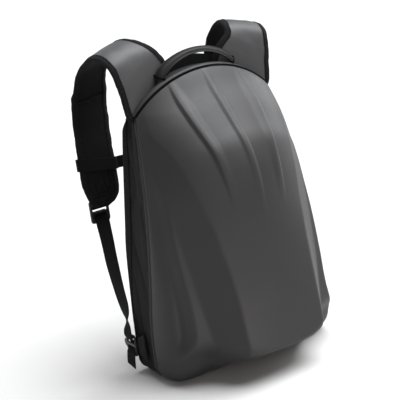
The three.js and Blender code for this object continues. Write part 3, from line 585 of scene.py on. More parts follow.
MATERIALS = {
    "shell": shell_surface(),
    "coated": coated_surface("coated_cloth", (0.0376, 0.0373, 0.0384), (0.0463, 0.046, 0.0472)),
    "yoke": coated_surface("yoke_cloth", (0.0105, 0.0103, 0.0107), (0.0129, 0.0127, 0.0132), 0.33),
    "handle": coated_surface("handle_cloth", (0.0052, 0.0051, 0.0053), (0.0076, 0.0075, 0.0077), 0.2),
    "cloth": cloth_surface(),
    "zip": zip_surface(),
    "mesh": mesh_surface(),
    "tape": tape_surface(),
    "webbing": webbing_surface(),
    # Near-black cord look: painted shade of the seam groove and of the slits at the handle's feet
    "cord": painted_shade_cord_surface(),
    "thread": thread_surface(),
    "plastic": plastic_surface(),
}


# Shapes: a shape is its points, its faces and the place of each face corner on the cloth

SHARP_ANGLE = math.radians(50)


def grid_shape(points, along, across, wrap=False, caps=False):
    """Quads over a grid of points; wrap joins the last column to the first, caps closes both end rings"""
    rows, columns = points.shape[:2]
    index = np.arange(rows * columns).reshape(rows, columns)
    cloth = np.stack(np.broadcast_arrays(np.asarray(along, float), np.asarray(across, float)), -1)
    rings = index
    if wrap:
        index = np.hstack([index, index[:, :1]])
        if cloth.shape[1] == columns:
            cloth = np.concatenate([cloth, cloth[:, :1]], 1)
    corners = ((slice(None, -1), slice(None, -1)), (slice(None, -1), slice(1, None)))
    corners += ((slice(1, None), slice(1, None)), (slice(1, None), slice(None, -1)))
    faces = np.stack([index[at] for at in corners], -1).reshape(-1, 4).tolist()
    places = np.stack([cloth[at] for at in corners], 2).reshape(-1, 2)
    if caps:
        ends = [rings[0][::-1], rings[-1]]
        faces += [end.tolist() for end in ends]
        places = np.vstack([places, np.zeros((2 * columns, 2))])
    return points.reshape(-1, 3), faces, places


def merged(*shapes):
    """Several shapes as one"""
    points, faces, places, start = [], [], [], 0
    for shape in shapes:
        points.append(shape[0])
        faces += [[start + i for i in face] for face in shape[1]]
        places.append(shape[2])
        start += len(shape[0])
    return np.vstack(points), faces, np.vstack(places)


def mirrored(shape):
    return shape[0] * (-1, 1, 1), shape[1], shape[2]


def link_new(name, data):
    """New object in the scene"""
    made = bpy.data.objects.new(name, data)
    bpy.context.scene.collection.objects.link(made)
    return made


def add_piece(name, shape, slot, nodes=(), look=None):
    """A closed mesh with its faces out, its cloth map, its material and its place on the frame"""
    points, faces, places = shape
    mesh = bpy.data.meshes.new(name)
    mesh.from_pydata((points * MM).tolist(), [], faces)
    layer = mesh.uv_layers.new(name="UVMap")
    layer.data.foreach_set("uv", np.ascontiguousarray(places, np.float32).ravel())
    work = bmesh.new()
    work.from_mesh(mesh)
    bmesh.ops.recalc_face_normals(work, faces=work.faces)
    work.to_mesh(mesh)
    work.free()
    mesh.polygons.foreach_set("use_smooth", [True] * len(mesh.polygons))
    mesh.set_sharp_from_angle(angle=SHARP_ANGLE)
    mesh.materials.append(MATERIALS[look or slot])
    piece = link_new(name, mesh)
    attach(piece, BODY)
    if nodes:
        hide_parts(*nodes)
    return piece


def add_pair(name, shape, slot, node=None):
    """A piece on the +X side and its mirror image"""
    for side, made in (("right", shape), ("left", mirrored(shape))):
        add_piece(f"{side}_{name}", made, slot, [f"{side}_{node}"] if node else ())


def frames_along(mids, hints):
    """Directions along, across and out of a strip whose width lies as near the hints as it can"""
    along = unit(np.gradient(mids, axis=0))
    across = unit(hints - along * np.sum(hints * along, axis=1, keepdims=True))
    return along, across, np.cross(across, along)


def swept(mids, across, out, section, wrap=True, caps=True, start=0.0):
    """Skin of a section of (across, out) points carried along a row of places"""
    section = np.broadcast_to(section, (len(mids), *np.shape(section)[-2:]))
    points = mids[:, None] + across[:, None] * section[..., :1] + out[:, None] * section[..., 1:]
    girth = np.array([lengths(np.vstack([ring, ring[:1]])) for ring in section])
    return grid_shape(points, (start + lengths(mids))[:, None], girth, wrap, caps)


# Selvedge of a band: steps in from its edge and up from its middle, in half thicknesses
SELVEDGE = ((0, 0), (0.2, 0.7), (0.9, 1.08), (2.2, 1))


def ribbon_section(width, thick):
    """Flat band with rounded selvedges"""
    a, b = width / 2, thick / 2
    upper = np.array([(-a + inward * b, up * b) for inward, up in SELVEDGE] + [(-a / 3, b)])
    right = upper[::-1] * (-1, 1)
    top = np.vstack([upper, right])
    return np.vstack([top, (top * (1, -1))[::-1][1:-1]])


def ribbon(mids, hints, width, thick):
    _, across, out = frames_along(mids, hints)
    return swept(mids, across, out, ribbon_section(width, thick))


def tube(mids, first, second, radius, sides=12, joined=False):
    """Round cord along a row of places"""
    angle = np.linspace(0, 2 * math.pi, sides, endpoint=False)
    section = radius * np.c_[np.cos(angle), np.sin(angle)]
    if joined:
        mids, first, second = (np.vstack([part, part[:1]]) for part in (mids, first, second))
    return swept(mids, first, second, section, caps=not joined)


# Rings of one stitch: place along it and share of its radius
STITCH_RINGS = np.array([(-0.5, 0.25), (-0.36, 0.8), (0, 1), (0.36, 0.8), (0.5, 0.25)])
STITCH_SIDES = 6
STITCH_START = 2
TAPE_STITCH = {"pitch": 3.8, "length": 2.7, "radius": 0.36}
LINING_STITCH = {"pitch": 3.2, "length": 2.3, "radius": 0.42}
HANDLE_STITCH = {"pitch": 3.2, "length": 2.3, "radius": 0.3}


def stitches(path, out, pitch, length, radius):
    """Row of thread stitches on a surface along a path, each sunk at its ends"""
    run = lengths(path)
    at = np.arange(STITCH_START, run[-1] - 0.5 * length, pitch)
    mids = interpolated(at, run, path)
    up = unit(interpolated(at, run, out))
    along = unit(interpolated(at, run, np.gradient(path, axis=0)))
    side = np.cross(up, along)
    angle = np.linspace(0, 2 * math.pi, STITCH_SIDES, endpoint=False)
    ahead, girth = length * STITCH_RINGS[:, :1, None], radius * STITCH_RINGS[:, 1:, None]
    sideways, upward = girth * np.cos(angle)[:, None], girth * np.sin(angle)[:, None]
    plain = np.zeros((len(STITCH_RINGS), 1)), np.zeros((1, STITCH_SIDES))
    shapes = []
    for i, mid in enumerate(mids):
        points = mid + along[i] * ahead + side[i] * sideways + up[i] * upward
        shapes.append(grid_shape(points, *plain, wrap=True, caps=True))
    return merged(*shapes)


# Shell


def body_rows():
    """Rows from the base (0) to the dome (1), closer together near the base"""
    low = BASE_ROWS_TOP / DOME_TOP_Z
    base = (1 - np.cos(np.arange(BASE_ROWS) / BASE_ROWS * math.pi / 2)) * low
    return np.concatenate([base, low + (1 - low) * np.arange(FRONT_ROWS + 1) / FRONT_ROWS])


def flank_fall(across, z, width):
    """Share of the fall from the crease to the flank's edge, with a knee and a leaf-shaped step"""
    knee = knee_across(z)
    fall = knee_fall(z)
    inner = fall * across / knee
    outer = fall + (1 - fall) * (across - knee) / (1 - knee)
    step = smooth((across - step_across(z)) * width / STEP_WIDTH + 0.5)
    grown = smooth((1 - step_across(z)) / STEP_SPAN)
    share = STEP_FALL * grown * smooth((STEP_TO - z) / (STEP_TO - STEP_FADE))
    return (1 - share) * np.where(across < knee, inner, outer) + share * step


def rib_height(share, z, drop):
    """Height of the ribs, thin and low at the seam, full over the dome and fading out down the front"""
    rise = np.clip(drop / RIB_START, 0, 1) ** RIB_RISE_POWER
    width = RIB_SLENDER + (1 - RIB_SLENDER) * rise
    height = 0
    for rib in RIBS:
        offset = share - rib["place"]
        foot = np.where(offset < 0, rib["inner"], rib["outer"])
        side = 1 - smooth((np.abs(offset) / width - rib["crest"]) / foot)
        height = height + rib["height"] * side * smooth((z - rib["end"]) / RIB_FADE) * rise
    return height


def softened(field, spacing):
    """Rows of a field that is even about its first column, blurred across by the softening width"""
    reach = int(np.ceil(SOFTEN_REACH * SOFTEN / spacing))
    offsets = np.arange(-reach, reach + 1) * spacing
    weights = np.exp(-0.5 * (offsets / SOFTEN) ** 2)
    wide = np.hstack([field[:, reach:0:-1], field, np.repeat(field[:, -1:], reach, 1)])
    return np.array([np.convolve(row, weights / weights.sum(), "valid") for row in wide])


def shell_grid(inset):
    """One skin of the shell, drawn in from the outer skin by the given wall"""
    v = body_rows()[:, None]
    side_z = side_height(v)
    half = half_width(side_z)
    crease = np.minimum(crease_x(side_z), half - CREASE_CLEAR)
    even = np.linspace(0, 1, BLUR_COLUMNS + 1)[None]
    turn = np.linspace(math.pi / 2, 0, SIDE_COLUMNS + 1)[None, 1:]
    flat = np.linspace(0, 1, FRONT_COLUMNS + 1)[None]
    x = np.hstack([(half - SIDE_ROUND) * flat, half - SIDE_ROUND * (1 - np.cos(turn))])
    side_rise = np.hstack([np.ones_like(flat), np.sin(turn)])

    def heights(at_x):
        low = base_z(at_x * BASE_HALF / half)
        high = dome_z(at_x * SEAM_CORNER_X / half)
        return low, high, low + v * (high - low)

    even_x = even * half
    _, high, z = heights(even_x)
    share = np.minimum(even_x / crease, 1)
    across = np.clip((even_x - crease) / (half - crease), 0, 1)
    crease_y = profile_y(high - z) + crease_behind(z)
    edge = np.maximum(flank_edge_y(z), crease_y)
    front = profile_y(high - z) + crease_behind(z) * share**2
    front = np.where(across > 0, crease_y + (edge - crease_y) * flank_fall(across, z, half - crease), front)
    front = softened(front, half.mean() / BLUR_COLUMNS)
    front = np.array([np.interp(places, spots, row) for places, spots, row in zip(x, even_x, front)])

    low, high, z = heights(x)
    front = front - rib_height(np.minimum(x / rib_spacing(side_z), 1), z, high - z) * (x < crease)
    from_base = (z - low) / base_round(x / half)
    soft = base_soft(x / half)
    corner = np.clip(from_base - 1 + soft, 0, 2 * soft)
    rounded = np.minimum(from_base, 1 + soft) - corner**2 / (4 * soft)
    base_rise = np.clip(rounded, 0, 1) ** base_power(x / half)
    inset_x = x * (1 - inset / half)
    inset_z = z - inset * (2 * v - 1)
    rim = rim_y(inset_z)
    y = rim + np.minimum(front + inset - rim, 0) * side_rise * base_rise
    y = y - seam_bulge(x * SEAM_CORNER_X / half) * (1 - smooth((high - z) / SEAM_BULGE_FADE))
    right = np.stack([inset_x, y, inset_z], -1)
    return np.concatenate([right[:, :0:-1] * (-1, 1, 1), right], 1)


def wall_shape(outer, inner):
    """Closed wall between two grids of points with the same rows and columns"""
    rows, columns = outer.shape[:2]
    flat_along, flat_across = np.zeros((rows, 1)), np.zeros((1, columns))
    front = grid_shape(outer, flat_along, flat_across)
    rear = grid_shape(inner, flat_along, flat_across)
    index = np.arange(rows * columns).reshape(rows, columns)
    border = np.concatenate([index[0, :-1], index[:-1, -1], index[-1, :0:-1], index[:0:-1, 0]])
    after = np.roll(border, -1)
    offset = rows * columns
    sides = np.stack([after, border, offset + border, offset + after], -1).tolist()
    points, faces, places = merged(front, rear)
    return points, faces + sides, np.vstack([places, np.zeros((4 * len(sides), 2))])


def cloth_wall(outer, inner, axes):
    """Closed wall with its cloth map laid flat on two axes of the frame"""
    points, faces, _ = wall_shape(outer, inner)
    flat = points[:, axes]
    return points, faces, np.vstack([flat[face] for face in faces])


add_piece("moulded_shell", wall_shape(shell_grid(0), shell_grid(SHELL_WALL)), "shell", ["front_shell"])


# Zip, gusset, seams and yoke round the body


def outline_stations(points, joined=False):
    """Places round the outline with outward normals"""
    if joined:
        along = np.roll(points, -1, 0) - np.roll(points, 1, 0)
    else:
        along = np.gradient(points, axis=0)
    along = unit(along)
    return {"x": points[:, 0], "z": points[:, 1], "nx": along[:, 1], "nz": -along[:, 0]}


# Outline of the bands: places along half the base, round the corner and up the side,
# and the even spacing that it is then given
BASE_PLACES, CORNER_PLACES, SIDE_PLACES = 40, 25, 140
BAND_SPACING = 3


def lower_points(top_z):
    """Outline from the left shoulder down the side, along the base and up to the right shoulder"""
    base_x = np.linspace(0, BASE_HALF - CORNER_RADIUS, BASE_PLACES)
    arc = np.linspace(0, math.pi / 2, CORNER_PLACES)[1:]
    side_z = np.linspace(CORNER_RADIUS, top_z, SIDE_PLACES)[1:]
    right = np.vstack([
        np.c_[base_x, np.zeros_like(base_x)],
        np.c_[BASE_HALF - CORNER_RADIUS * (1 - np.sin(arc)), CORNER_RADIUS * (1 - np.cos(arc))],
        np.c_[half_width(side_z), side_z],
    ])
    points = np.vstack([right[:0:-1] * (-1, 1), right])
    run = lengths(points)
    even = np.linspace(0, run[-1], int(run[-1] / BAND_SPACING) + 1)
    return interpolated(even, run, points)


def dome_points(half_x, steps):
    angle = math.asin(half_x / DOME_RADIUS) * np.linspace(1, -1, steps + 1)
    return np.c_[DOME_RADIUS * np.sin(angle), DOME_CENTRE_Z + DOME_RADIUS * np.cos(angle)]


def band_shape(stations, y, depth, wall):
    """Cloth band as a closed wall, from y and depth below the outline for each place along and across"""
    place = np.c_[stations["x"], np.zeros_like(stations["x"]), stations["z"]][:, None]
    normal = np.c_[stations["nx"], np.zeros_like(stations["x"]), stations["nz"]][:, None]
    outer = place - normal * depth[..., None]
    outer[..., 1] = y
    inner = outer - normal * wall
    ring = np.concatenate([outer, inner[:, ::-1]], 1)
    run = lengths(place[:, 0])[:, None]
    width = np.concatenate([y, y[:, ::-1]], 1)
    return grid_shape(ring, run, width, wrap=True, caps=True)


# How far the bands end short of the seam corner, and how far from it the cord round the back cuts it
LOWER_SHORT, DOME_SHORT = 0.6, 0.2
CUT_Z, CUT_X = 6, 5
DOME_STEPS, CUT_STEPS = 120, 100
LOWER = outline_stations(lower_points(SEAM_CORNER_Z - LOWER_SHORT))
DOME = outline_stations(dome_points(SEAM_CORNER_X - DOME_SHORT, DOME_STEPS))
CUT_DOME = dome_points(SEAM_CORNER_X - CUT_X, CUT_STEPS)
AROUND = outline_stations(np.vstack([lower_points(SEAM_CORNER_Z - CUT_Z), CUT_DOME]), joined=True)

# Zip section from under the shell rim to the gusset: share of the width and depth below the outline
ZIP_SECTION = table(
    "share depth",
    (-0.3, 3.4), (-0.06, 3.4), (0, 0.7), (0.08, 0.9), (0.36, 1.2), (0.4, 0.7), (0.44, 0.45), (0.48, 0.6),
    (0.5, 1.25), (0.52, 0.6), (0.56, 0.45), (0.6, 0.7), (0.64, 1.2), (0.92, 0.9), (1, 0.7),
)
CLOTH_WALL = 1

# Cloth hidden in the seams: the gusset under the zip, and the gusset and the back in the back seam's cord
ZIP_TUCK = {"reach": 4, "depth": 2.8}
SEAM_TUCK = 0.7

# Folds of the gusset: depth, length of one fold, folds across, the length over which they drift by one,
# and the seed of their noise
GUSSET_FOLDS = {
    "wander": {"depth": 2.4, "length": 55, "across": 3.1, "drift": 130, "seed": 3},
    "crease": {"depth": 2.2, "length": 90, "across": 2.4, "drift": 75, "seed": 11},
    "pucker": {"depth": 0.7, "length": 9, "across": 2, "drift": math.inf, "seed": 5},
}
CREASE_POWER = 4
PUCKER_REACH = 0.12
TAUT_SHARE = 0.15
GUSSET_COLUMNS = 31


def zip_band():
    front = (rim_y(LOWER["z"]) + GAP)[:, None]
    y = front + ZIP_WIDTH * ZIP_SECTION["share"][None]
    depth = np.broadcast_to(ZIP_SECTION["depth"], y.shape)
    return band_shape(LOWER, y, depth, CLOTH_WALL)


def gusset_band():
    """Cloth side with soft wandering folds, flat and taut under the base"""
    share = np.linspace(0, 1, GUSSET_COLUMNS)[None]
    front = (rim_y(LOWER["z"]) + ZIP_WIDTH + 2 * GAP)[:, None]
    rear = (back_y(LOWER["z"]) - CORD_RADIUS + SEAM_TUCK)[:, None]
    run = lengths(np.c_[LOWER["x"], LOWER["z"]])[:, None]
    edge = np.sqrt(np.clip(4 * share * (1 - share), 0, 1))
    noise = {
        name: value_noise(run / fold["length"], fold["across"] * share + run / fold["drift"], fold["seed"])
        for name, fold in GUSSET_FOLDS.items()
    }
    fold_shape = {
        "wander": noise["wander"] * edge,
        "crease": (1 - np.abs(2 * noise["crease"] - 1)) ** CREASE_POWER * edge,
        "pucker": noise["pucker"] * (np.exp(-share / PUCKER_REACH) + np.exp((share - 1) / PUCKER_REACH)),
    }
    slack = smooth(1 - np.maximum(-LOWER["nz"], 0))[:, None]
    depth = sum(fold["depth"] * fold_shape[name] for name, fold in GUSSET_FOLDS.items())
    depth = depth * (TAUT_SHARE + (1 - TAUT_SHARE) * slack)
    y = np.hstack([front - ZIP_TUCK["reach"], front - GAP, front + (rear - front) * share])
    tucked = np.full((len(depth), 2), ZIP_TUCK["depth"])
    return band_shape(LOWER, y, np.hstack([tucked, depth]), CLOTH_WALL)


# Yoke section: height over the outline against the distance behind the top seam,
# a padded roll and then a flat that comes down to the back seam
YOKE_SECTION = table(
    "behind height",
    (0, -1.2), (1.2, 0.6), (3.6, 3.4), (7.4, 5), (11, 4.6), (14.4, 2.4), (16.6, 0.2), (18, -0.6),
    (20, 0.1), (26, 1.6), (45, 4),
)
YOKE_WALL = 1.5
YOKE_DOWN_FROM = 0.75
# Columns of the yoke, and the power that crowds them towards the seam
YOKE_COLUMNS, YOKE_CROWDING = 56, 1.4


def yoke_band():
    share = np.linspace(0, 1, YOKE_COLUMNS)[None] ** YOKE_CROWDING
    front = SEAM_Y - seam_bulge(DOME["x"])[:, None] + 2 * (CORD_RADIUS + GAP)
    rear = (back_y(DOME["z"]) - CORD_RADIUS - GAP)[:, None]
    y = front + (rear - front) * share
    kept = 1 - smooth((share - YOKE_DOWN_FROM) / (1 - YOKE_DOWN_FROM))
    height = column(YOKE_SECTION, "behind", "height")(y - front) * kept
    return band_shape(DOME, y, -height, YOKE_WALL)


def cord_along(stations, y, joined, radius=CORD_RADIUS, inset=CORD_INSET):
    """Cord that stands proud of the outline at the sides and lies flush with the base"""
    down = np.maximum(-stations["nz"], 0)
    inset = inset + (radius - inset) * down
    mids = np.c_[stations["x"] - stations["nx"] * inset, y, stations["z"] - stations["nz"] * inset]
    first = np.c_[stations["nx"], np.zeros_like(down), stations["nz"]]
    second = np.broadcast_to((0.0, 1.0, 0.0), first.shape)
    return tube(mids, first, second, radius, joined=joined)


add_piece("zip_band", zip_band(), "zip", ["main_zip"])
gusset = add_piece("gusset_cloth", gusset_band(), "cloth", ["side_gusset"])
yoke = add_piece("yoke_cloth", yoke_band(), "coated", ["yoke_panel"], look="yoke")
seam_y = SEAM_Y - seam_bulge(DOME["x"]) + CORD_RADIUS + GAP
top_cord = cord_along(DOME, seam_y, False, SEAM_CORD_RADIUS, SEAM_CORD_INSET)
# Seam cord in the near-black cord look: painted shade of the deep groove between shell and yoke
add_piece("seam_cord", top_cord, "webbing", ["top_seam"], look="cord")
add_piece("back_seam_cord", cord_along(AROUND, back_y(AROUND["z"]), True), "webbing", ["back_piping"])


# Padded back

# How far it is drawn in, rounding of its border, thickness and share of the padding at its edge, and grid
BACK_INSET = 1.6
BACK_ROUND = 9
BACK_EDGE = 3
BACK_EDGE_SHARE = 0.6
BACK_ROWS, BACK_COLUMNS = 131, 121
# Shoulders of the back: how far they are drawn in, and from which height over which span
BACK_SHOULDER = {"in": 11, "from": 394, "span": 25}
# Sewn hem inside the edge, and the two long channels with their places as shares of the half width
HEM = {"inside": 20, "width": 3.5, "depth": 1.6}
CHANNEL = {"places": (-0.36, 0.36), "width": 5, "depth": 2.4, "inside": 12}


def back_grid(rear):
    """Rear face of the padded back, or the flat face against the body"""
    v = np.linspace(0, 1, BACK_ROWS)[:, None]
    u = np.sin(np.linspace(-math.pi / 2, math.pi / 2, BACK_COLUMNS))[None]
    side_z = side_height(v)
    drawn_in = smooth((side_z - BACK_SHOULDER["from"]) / BACK_SHOULDER["span"])
    half = half_width(side_z) - BACK_SHOULDER["in"] * drawn_in
    x = np.abs(u) * half
    low = base_z(x * BASE_HALF / half)
    lip = BACK_LIP * (1 - smooth((x / half - BACK_LIP_START) / (1 - BACK_LIP_START)))
    high = dome_z(x * SEAM_CORNER_X / half) + lip
    z = low + v * (high - low)
    from_side = np.clip((half - x) / BACK_ROUND, 0, 1)
    from_ends = np.clip(np.minimum(z - low, high - z) / BACK_ROUND, 0, 1)
    rise = np.sqrt((1 - (1 - from_side) ** 2) * (1 - (1 - from_ends) ** 2))
    front = back_y(z) + CORD_RADIUS - SEAM_TUCK
    edge = front + BACK_EDGE
    y = front
    if rear:
        inside = np.minimum(half - x, np.minimum(z - low, high - z))
        groove = HEM["depth"] * np.exp(-(((inside - HEM["inside"]) / HEM["width"]) ** 2))
        for place in CHANNEL["places"]:
            away = (x * np.sign(u) - place * half) / CHANNEL["width"]
            sunk = CHANNEL["depth"] * np.exp(-(away**2)) * (inside > CHANNEL["inside"])
            groove = np.maximum(groove, sunk)
        y = edge + (pad_y(z) - edge) * (BACK_EDGE_SHARE + (1 - BACK_EDGE_SHARE) * rise) - groove
    inset_x = np.broadcast_to(np.sign(u) * x * (1 - BACK_INSET / half), z.shape)
    inset_z = z - BACK_INSET * (2 * v - 1)
    return np.stack([inset_x, y, inset_z], -1)


back_pad = cloth_wall(back_grid(True), back_grid(False), [2, 0])
back = add_piece("padded_back", back_pad, "mesh", ["back_panel"])


# Shoulder straps


def strap_path(slack):
    """Places along a strap, worked out on the +X side, with its bow and half thickness"""
    hang = slack * np.c_[STRAP["slim"], -STRAP["near"], -STRAP["low"]]
    a = curve(points_of(STRAP, "i") + hang, STRAP_STEPS)
    b = curve(points_of(STRAP, "o") + hang * (0, 1, 1), STRAP_STEPS)
    rows = {**STRAP, "at": np.linspace(0, 1, len(STRAP["ix"]))}
    at = np.linspace(0, 1, STRAP_STEPS + 1)
    path = {"mid": (a + b) / 2, "half": np.linalg.norm(b - a, axis=1) / 2, "across": unit(b - a)}
    path["along"] = unit(np.gradient(path["mid"], axis=0))
    path["out"] = unit(np.cross(path["across"], path["along"]))
    path["bow"] = column(rows, "at", "bow")(at)
    path["thick"] = column(rows, "at", "thick")(at)
    path["run"] = lengths(path["mid"])
    fold = STRAP_KINK["reach"] * np.exp(-(((path["run"] - STRAP_KINK["run"]) / STRAP_KINK["length"]) ** 2))
    path["half"] = path["half"] + fold + uneven(STRAP_WAVER, path["run"], 0 * path["run"], SEEDS["edge"])
    return path


def strap_points(path, share, up):
    """Points on a strap at shares of its half width and heights over its middle"""
    share = np.broadcast_to(share, np.broadcast_shapes(np.shape(share), np.shape(up)))
    return (
        path["mid"][:, None]
        + path["across"][:, None] * (share * path["half"][:, None])[..., None]
        + path["along"][:, None] * ((1 - share**2) * path["bow"][:, None])[..., None]
        + path["out"][:, None] * np.asarray(up)[..., None]
    )


def dome_height(share):
    """Height of a strap face as a share of its half thickness, lower towards the edges"""
    return 1 - (1 - STRAP_EDGE_SHARE) * np.abs(share) ** STRAP_DOME_POWER


# Sewn lines on the lining: distance along the strap and share of its half width at both ends, and depth
SEWN_LINES = table(
    "run share to_run to_share depth",
    (242, -0.8, 242, 0.8, 3.2), (250, -0.2, 248, 0.9, 1.2),
    (379, -0.05, 403, -0.3, 1.4), (379, -0.05, 403, 0.3, 1.4), (403, -0.3, 403, 0.3, 1.4),
    (366, -0.44, 409, -0.44, 1.6), (366, 0.44, 409, 0.44, 1.6), (409, -0.44, 409, 0.44, 1.6),
)
SEWN_WIDTH = 1.5
THREAD_SUNK = 0.7


def sewn_line(i, steps=40):
    """Places along one sewn line as distances along the strap and shares of its half width"""
    line = {name: values[i] for name, values in SEWN_LINES.items()}
    run = np.linspace(line["run"], line["to_run"], steps)
    return run, np.linspace(line["share"], line["to_share"], steps)


def sewn_dents(path, share):
    """Depth of the grooves that the sewn lines pull into the lining"""
    along = path["run"][:, None] + 0 * share
    across = share * path["half"][:, None]
    depth = np.zeros_like(along)
    for i in range(len(SEWN_LINES["run"])):
        run, places = sewn_line(i)
        half = np.interp(run, path["run"], path["half"])
        gap = np.min(np.hypot(along[..., None] - run, across[..., None] - places * half), -1)
        depth = np.maximum(depth, SEWN_LINES["depth"][i] * np.exp(-((gap / SEWN_WIDTH) ** 2)))
    return depth


def strap_face(path, sign, seed):
    """One padded face of the strap, domed towards the given side, with a slightly uneven filling"""
    share = np.linspace(-1, 1, STRAP_COLUMNS)[None]
    filling = uneven(STRAP_FILLING, path["run"][:, None], share, seed)
    height = path["thick"][:, None] * dome_height(share) + filling * (1 - share**FILLING_POWER)
    if sign < 0:
        height = height - sewn_dents(path, share)
    top = sign * height
    upper = strap_points(path, share, top)
    lower = strap_points(path, share[:, ::-1], np.full_like(top, sign * STRAP_SPLIT))
    ring = np.concatenate([upper, lower], 1)
    across = share * path["half"][:, None]
    places = np.concatenate([across, across[:, ::-1]], 1)
    return grid_shape(ring, path["run"][:, None], places, wrap=True, caps=True)


def lining_stitches(path):
    """Thread in the grooves of the lining's sewn lines"""
    rows = []
    for i in range(len(SEWN_LINES["run"])):
        run, share = sewn_line(i)
        mid, across, out = (interpolated(run, path["run"], path[key]) for key in ("mid", "across", "out"))
        half, thick = (np.interp(run, path["run"], path[key]) for key in ("half", "thick"))
        height = thick * dome_height(share) - SEWN_LINES["depth"][i] * THREAD_SUNK
        place = mid + across * (share * half)[:, None] - out * height[:, None]
        rows.append(stitches(place, -out, **LINING_STITCH))
    return merged(*rows)


# Section of the binding tape from its upper to its lower hem: distance out from the strap edge and
# share of the height there
BINDING = table(
    "away height",
    (-6.3, 0.5), (-6.2, 1), (-4.6, 1), (-2.8, 1), (-0.8, 1), (1, 0.94), (2.2, 0.68), (2.9, 0.25),
    (2.9, -0.25), (2.2, -0.68), (1, -0.94), (-0.8, -1), (-2.8, -1), (-4.6, -1), (-6.2, -1), (-6.3, -0.5),
)
BINDING_CLOTH = 0.9
# Uneven hem and fuzzy face of the tape, as for the straps
BINDING_WAVER = {"size": 1.1, "length": 7, "across": 0.2, "start": 5}
BINDING_FUZZ = {"size": 0.6, "length": 3.1, "across": 0.7, "start": 9}
# Row of stitches on the tape: distance from the strap edge and height over the tape
BINDING_SEAM = {"away": -4.6, "over": 0.1}
# Places across the strap tip, and passes that smooth the tape's turns there
TIP_PLACES = 9
TURN_SMOOTHING = 3


def binding_path(path):
    """Edge of the strap down its inner side, round the tip and up its outer side"""
    level = np.zeros((len(path["half"]), 1))
    inner, outer = (strap_points(path, np.full((1, 1), share), level)[:, 0] for share in (-1, 1))
    tip = inner[-1] + (outer[-1] - inner[-1]) * np.linspace(0, 1, TIP_PLACES)[1:-1, None]
    place = np.vstack([inner, tip, outer[::-1]])

    def round_tip(rows):
        return np.concatenate([rows, np.repeat(rows[-1:], len(tip), 0), rows[::-1]])

    out, thick, half = (round_tip(path[key]) for key in ("out", "thick", "half"))
    along = np.gradient(place, axis=0)
    for _ in range(TURN_SMOOTHING):
        along[1:-1] = (along[:-2] + 2 * along[1:-1] + along[2:]) / 4
    along = unit(along)
    away = unit(np.cross(out, along))
    return {"place": place, "out": out, "away": away, "thick": thick, "half": half}


def binding_height(edge, away):
    """Height of the strap face at a distance out from the strap edge, with the tape on it"""
    share = 1 + np.minimum(away, 0) / edge["half"][:, None]
    return edge["thick"][:, None] * dome_height(share) + BINDING_CLOTH


def strap_binding(path):
    edge = binding_path(path)
    run = lengths(edge["place"])[:, None]
    section = BINDING["away"][None]
    away = section + uneven(BINDING_WAVER, run, section, SEEDS["tape_edge"])
    fuzz = uneven(BINDING_FUZZ, run, section, SEEDS["tape"])
    height = BINDING["height"] * binding_height(edge, away) + np.sign(BINDING["height"]) * fuzz
    return swept(edge["place"], edge["away"], edge["out"], np.stack([away, height], -1))


def binding_stitches(path):
    edge = binding_path(path)
    away = BINDING_SEAM["away"]
    height = binding_height(edge, np.full((len(edge["half"]), 1), away)) + BINDING_SEAM["over"]
    rows = []
    for sign in (1, -1):
        place = edge["place"] + edge["away"] * away + edge["out"] * sign * height
        rows.append(stitches(place, sign * edge["out"], **TAPE_STITCH))
    return merged(*rows)


RIGHT, LEFT = strap_path(1), strap_path(0)
for side, path, turn in (("right", RIGHT, lambda shape: shape), ("left", LEFT, mirrored)):
    upper = turn(strap_face(path, 1, SEEDS["cover"]))
    lower = turn(strap_face(path, -1, SEEDS["lining"]))
    cover = add_piece(f"{side}_cover_pad", upper, "coated", [f"{side}_strap_cover"])
    lining = add_piece(f"{side}_lining_pad", lower, "mesh", [f"{side}_strap_lining"])
    add_piece(f"{side}_edge_tape", turn(strap_binding(path)), "tape", [f"{side}_strap_binding"])
    add_piece(f"{side}_edge_stitches", turn(binding_stitches(path)), "webbing")
    add_piece(f"{side}_lining_stitches", turn(lining_stitches(path)), "tape", look="thread")


# Grab handle

# Section of the handle: share of the half width and half thickness, thin flanges beside a padded core
HANDLE_SECTION = table(
    "share thick",
    (-1, 0.5), (-0.97, 0.9), (-0.8, 1.0), (-0.62, 1.1), (-0.5, 2.0), (-0.25, 2.7), (0, 2.9),
    (0.25, 2.7), (0.5, 2.0), (0.62, 1.1), (0.8, 1.0), (0.97, 0.9), (1, 0.5),
)
HANDLE_STEPS = 120
# Rows of stitches on the flanges: share of the half width and height over the middle
HANDLE_SEAM = {"share": 0.8, "over": 1.05}

# Welt round each foot, near-black as painted shade of its slit: first step along the handle, steps it
# slants over, reach past the handle's edge, half thickness, tube radius, powers that box its ring across
# and out, and places round it
WELT = {
    "step": 3, "slant": 9, "past": 1, "half": 3, "radius": 1.3, "across": 0.4, "out": 0.6, "places": 40,
}


def handle_path():
    """Middle line of the handle, its directions across and out, and its half width"""
    sides = (points_of(HANDLE, edge) for edge in "io")
    front, rear = (curve(np.vstack([row, row[-2::-1] * (-1, 1, 1)]), HANDLE_STEPS) for row in sides)
    mid = (front + rear) / 2
    across = unit(rear - front)
    along = unit(np.gradient(mid, axis=0))
    return mid, across, unit(np.cross(across, along)), np.linalg.norm(rear - front, axis=1) / 2


def handle_shape():
    mid, across, out, half = handle_path()
    share, thick = HANDLE_SECTION["share"], HANDLE_SECTION["thick"]
    ring = np.concatenate([np.c_[share, thick], np.c_[share, -thick][::-1]])
    section = np.broadcast_to(ring, (len(mid), *ring.shape)).copy()
    section[..., 0] *= half[:, None]
    return swept(mid, across, out, section)


def handle_stitches():
    mid, across, out, half = handle_path()
    rows = []
    for side in (-HANDLE_SEAM["share"], HANDLE_SEAM["share"]):
        for sign in (1, -1):
            place = mid + across * half[:, None] * side + out * sign * HANDLE_SEAM["over"]
            rows.append(stitches(place, sign * out, **HANDLE_STITCH))
    return merged(*rows)


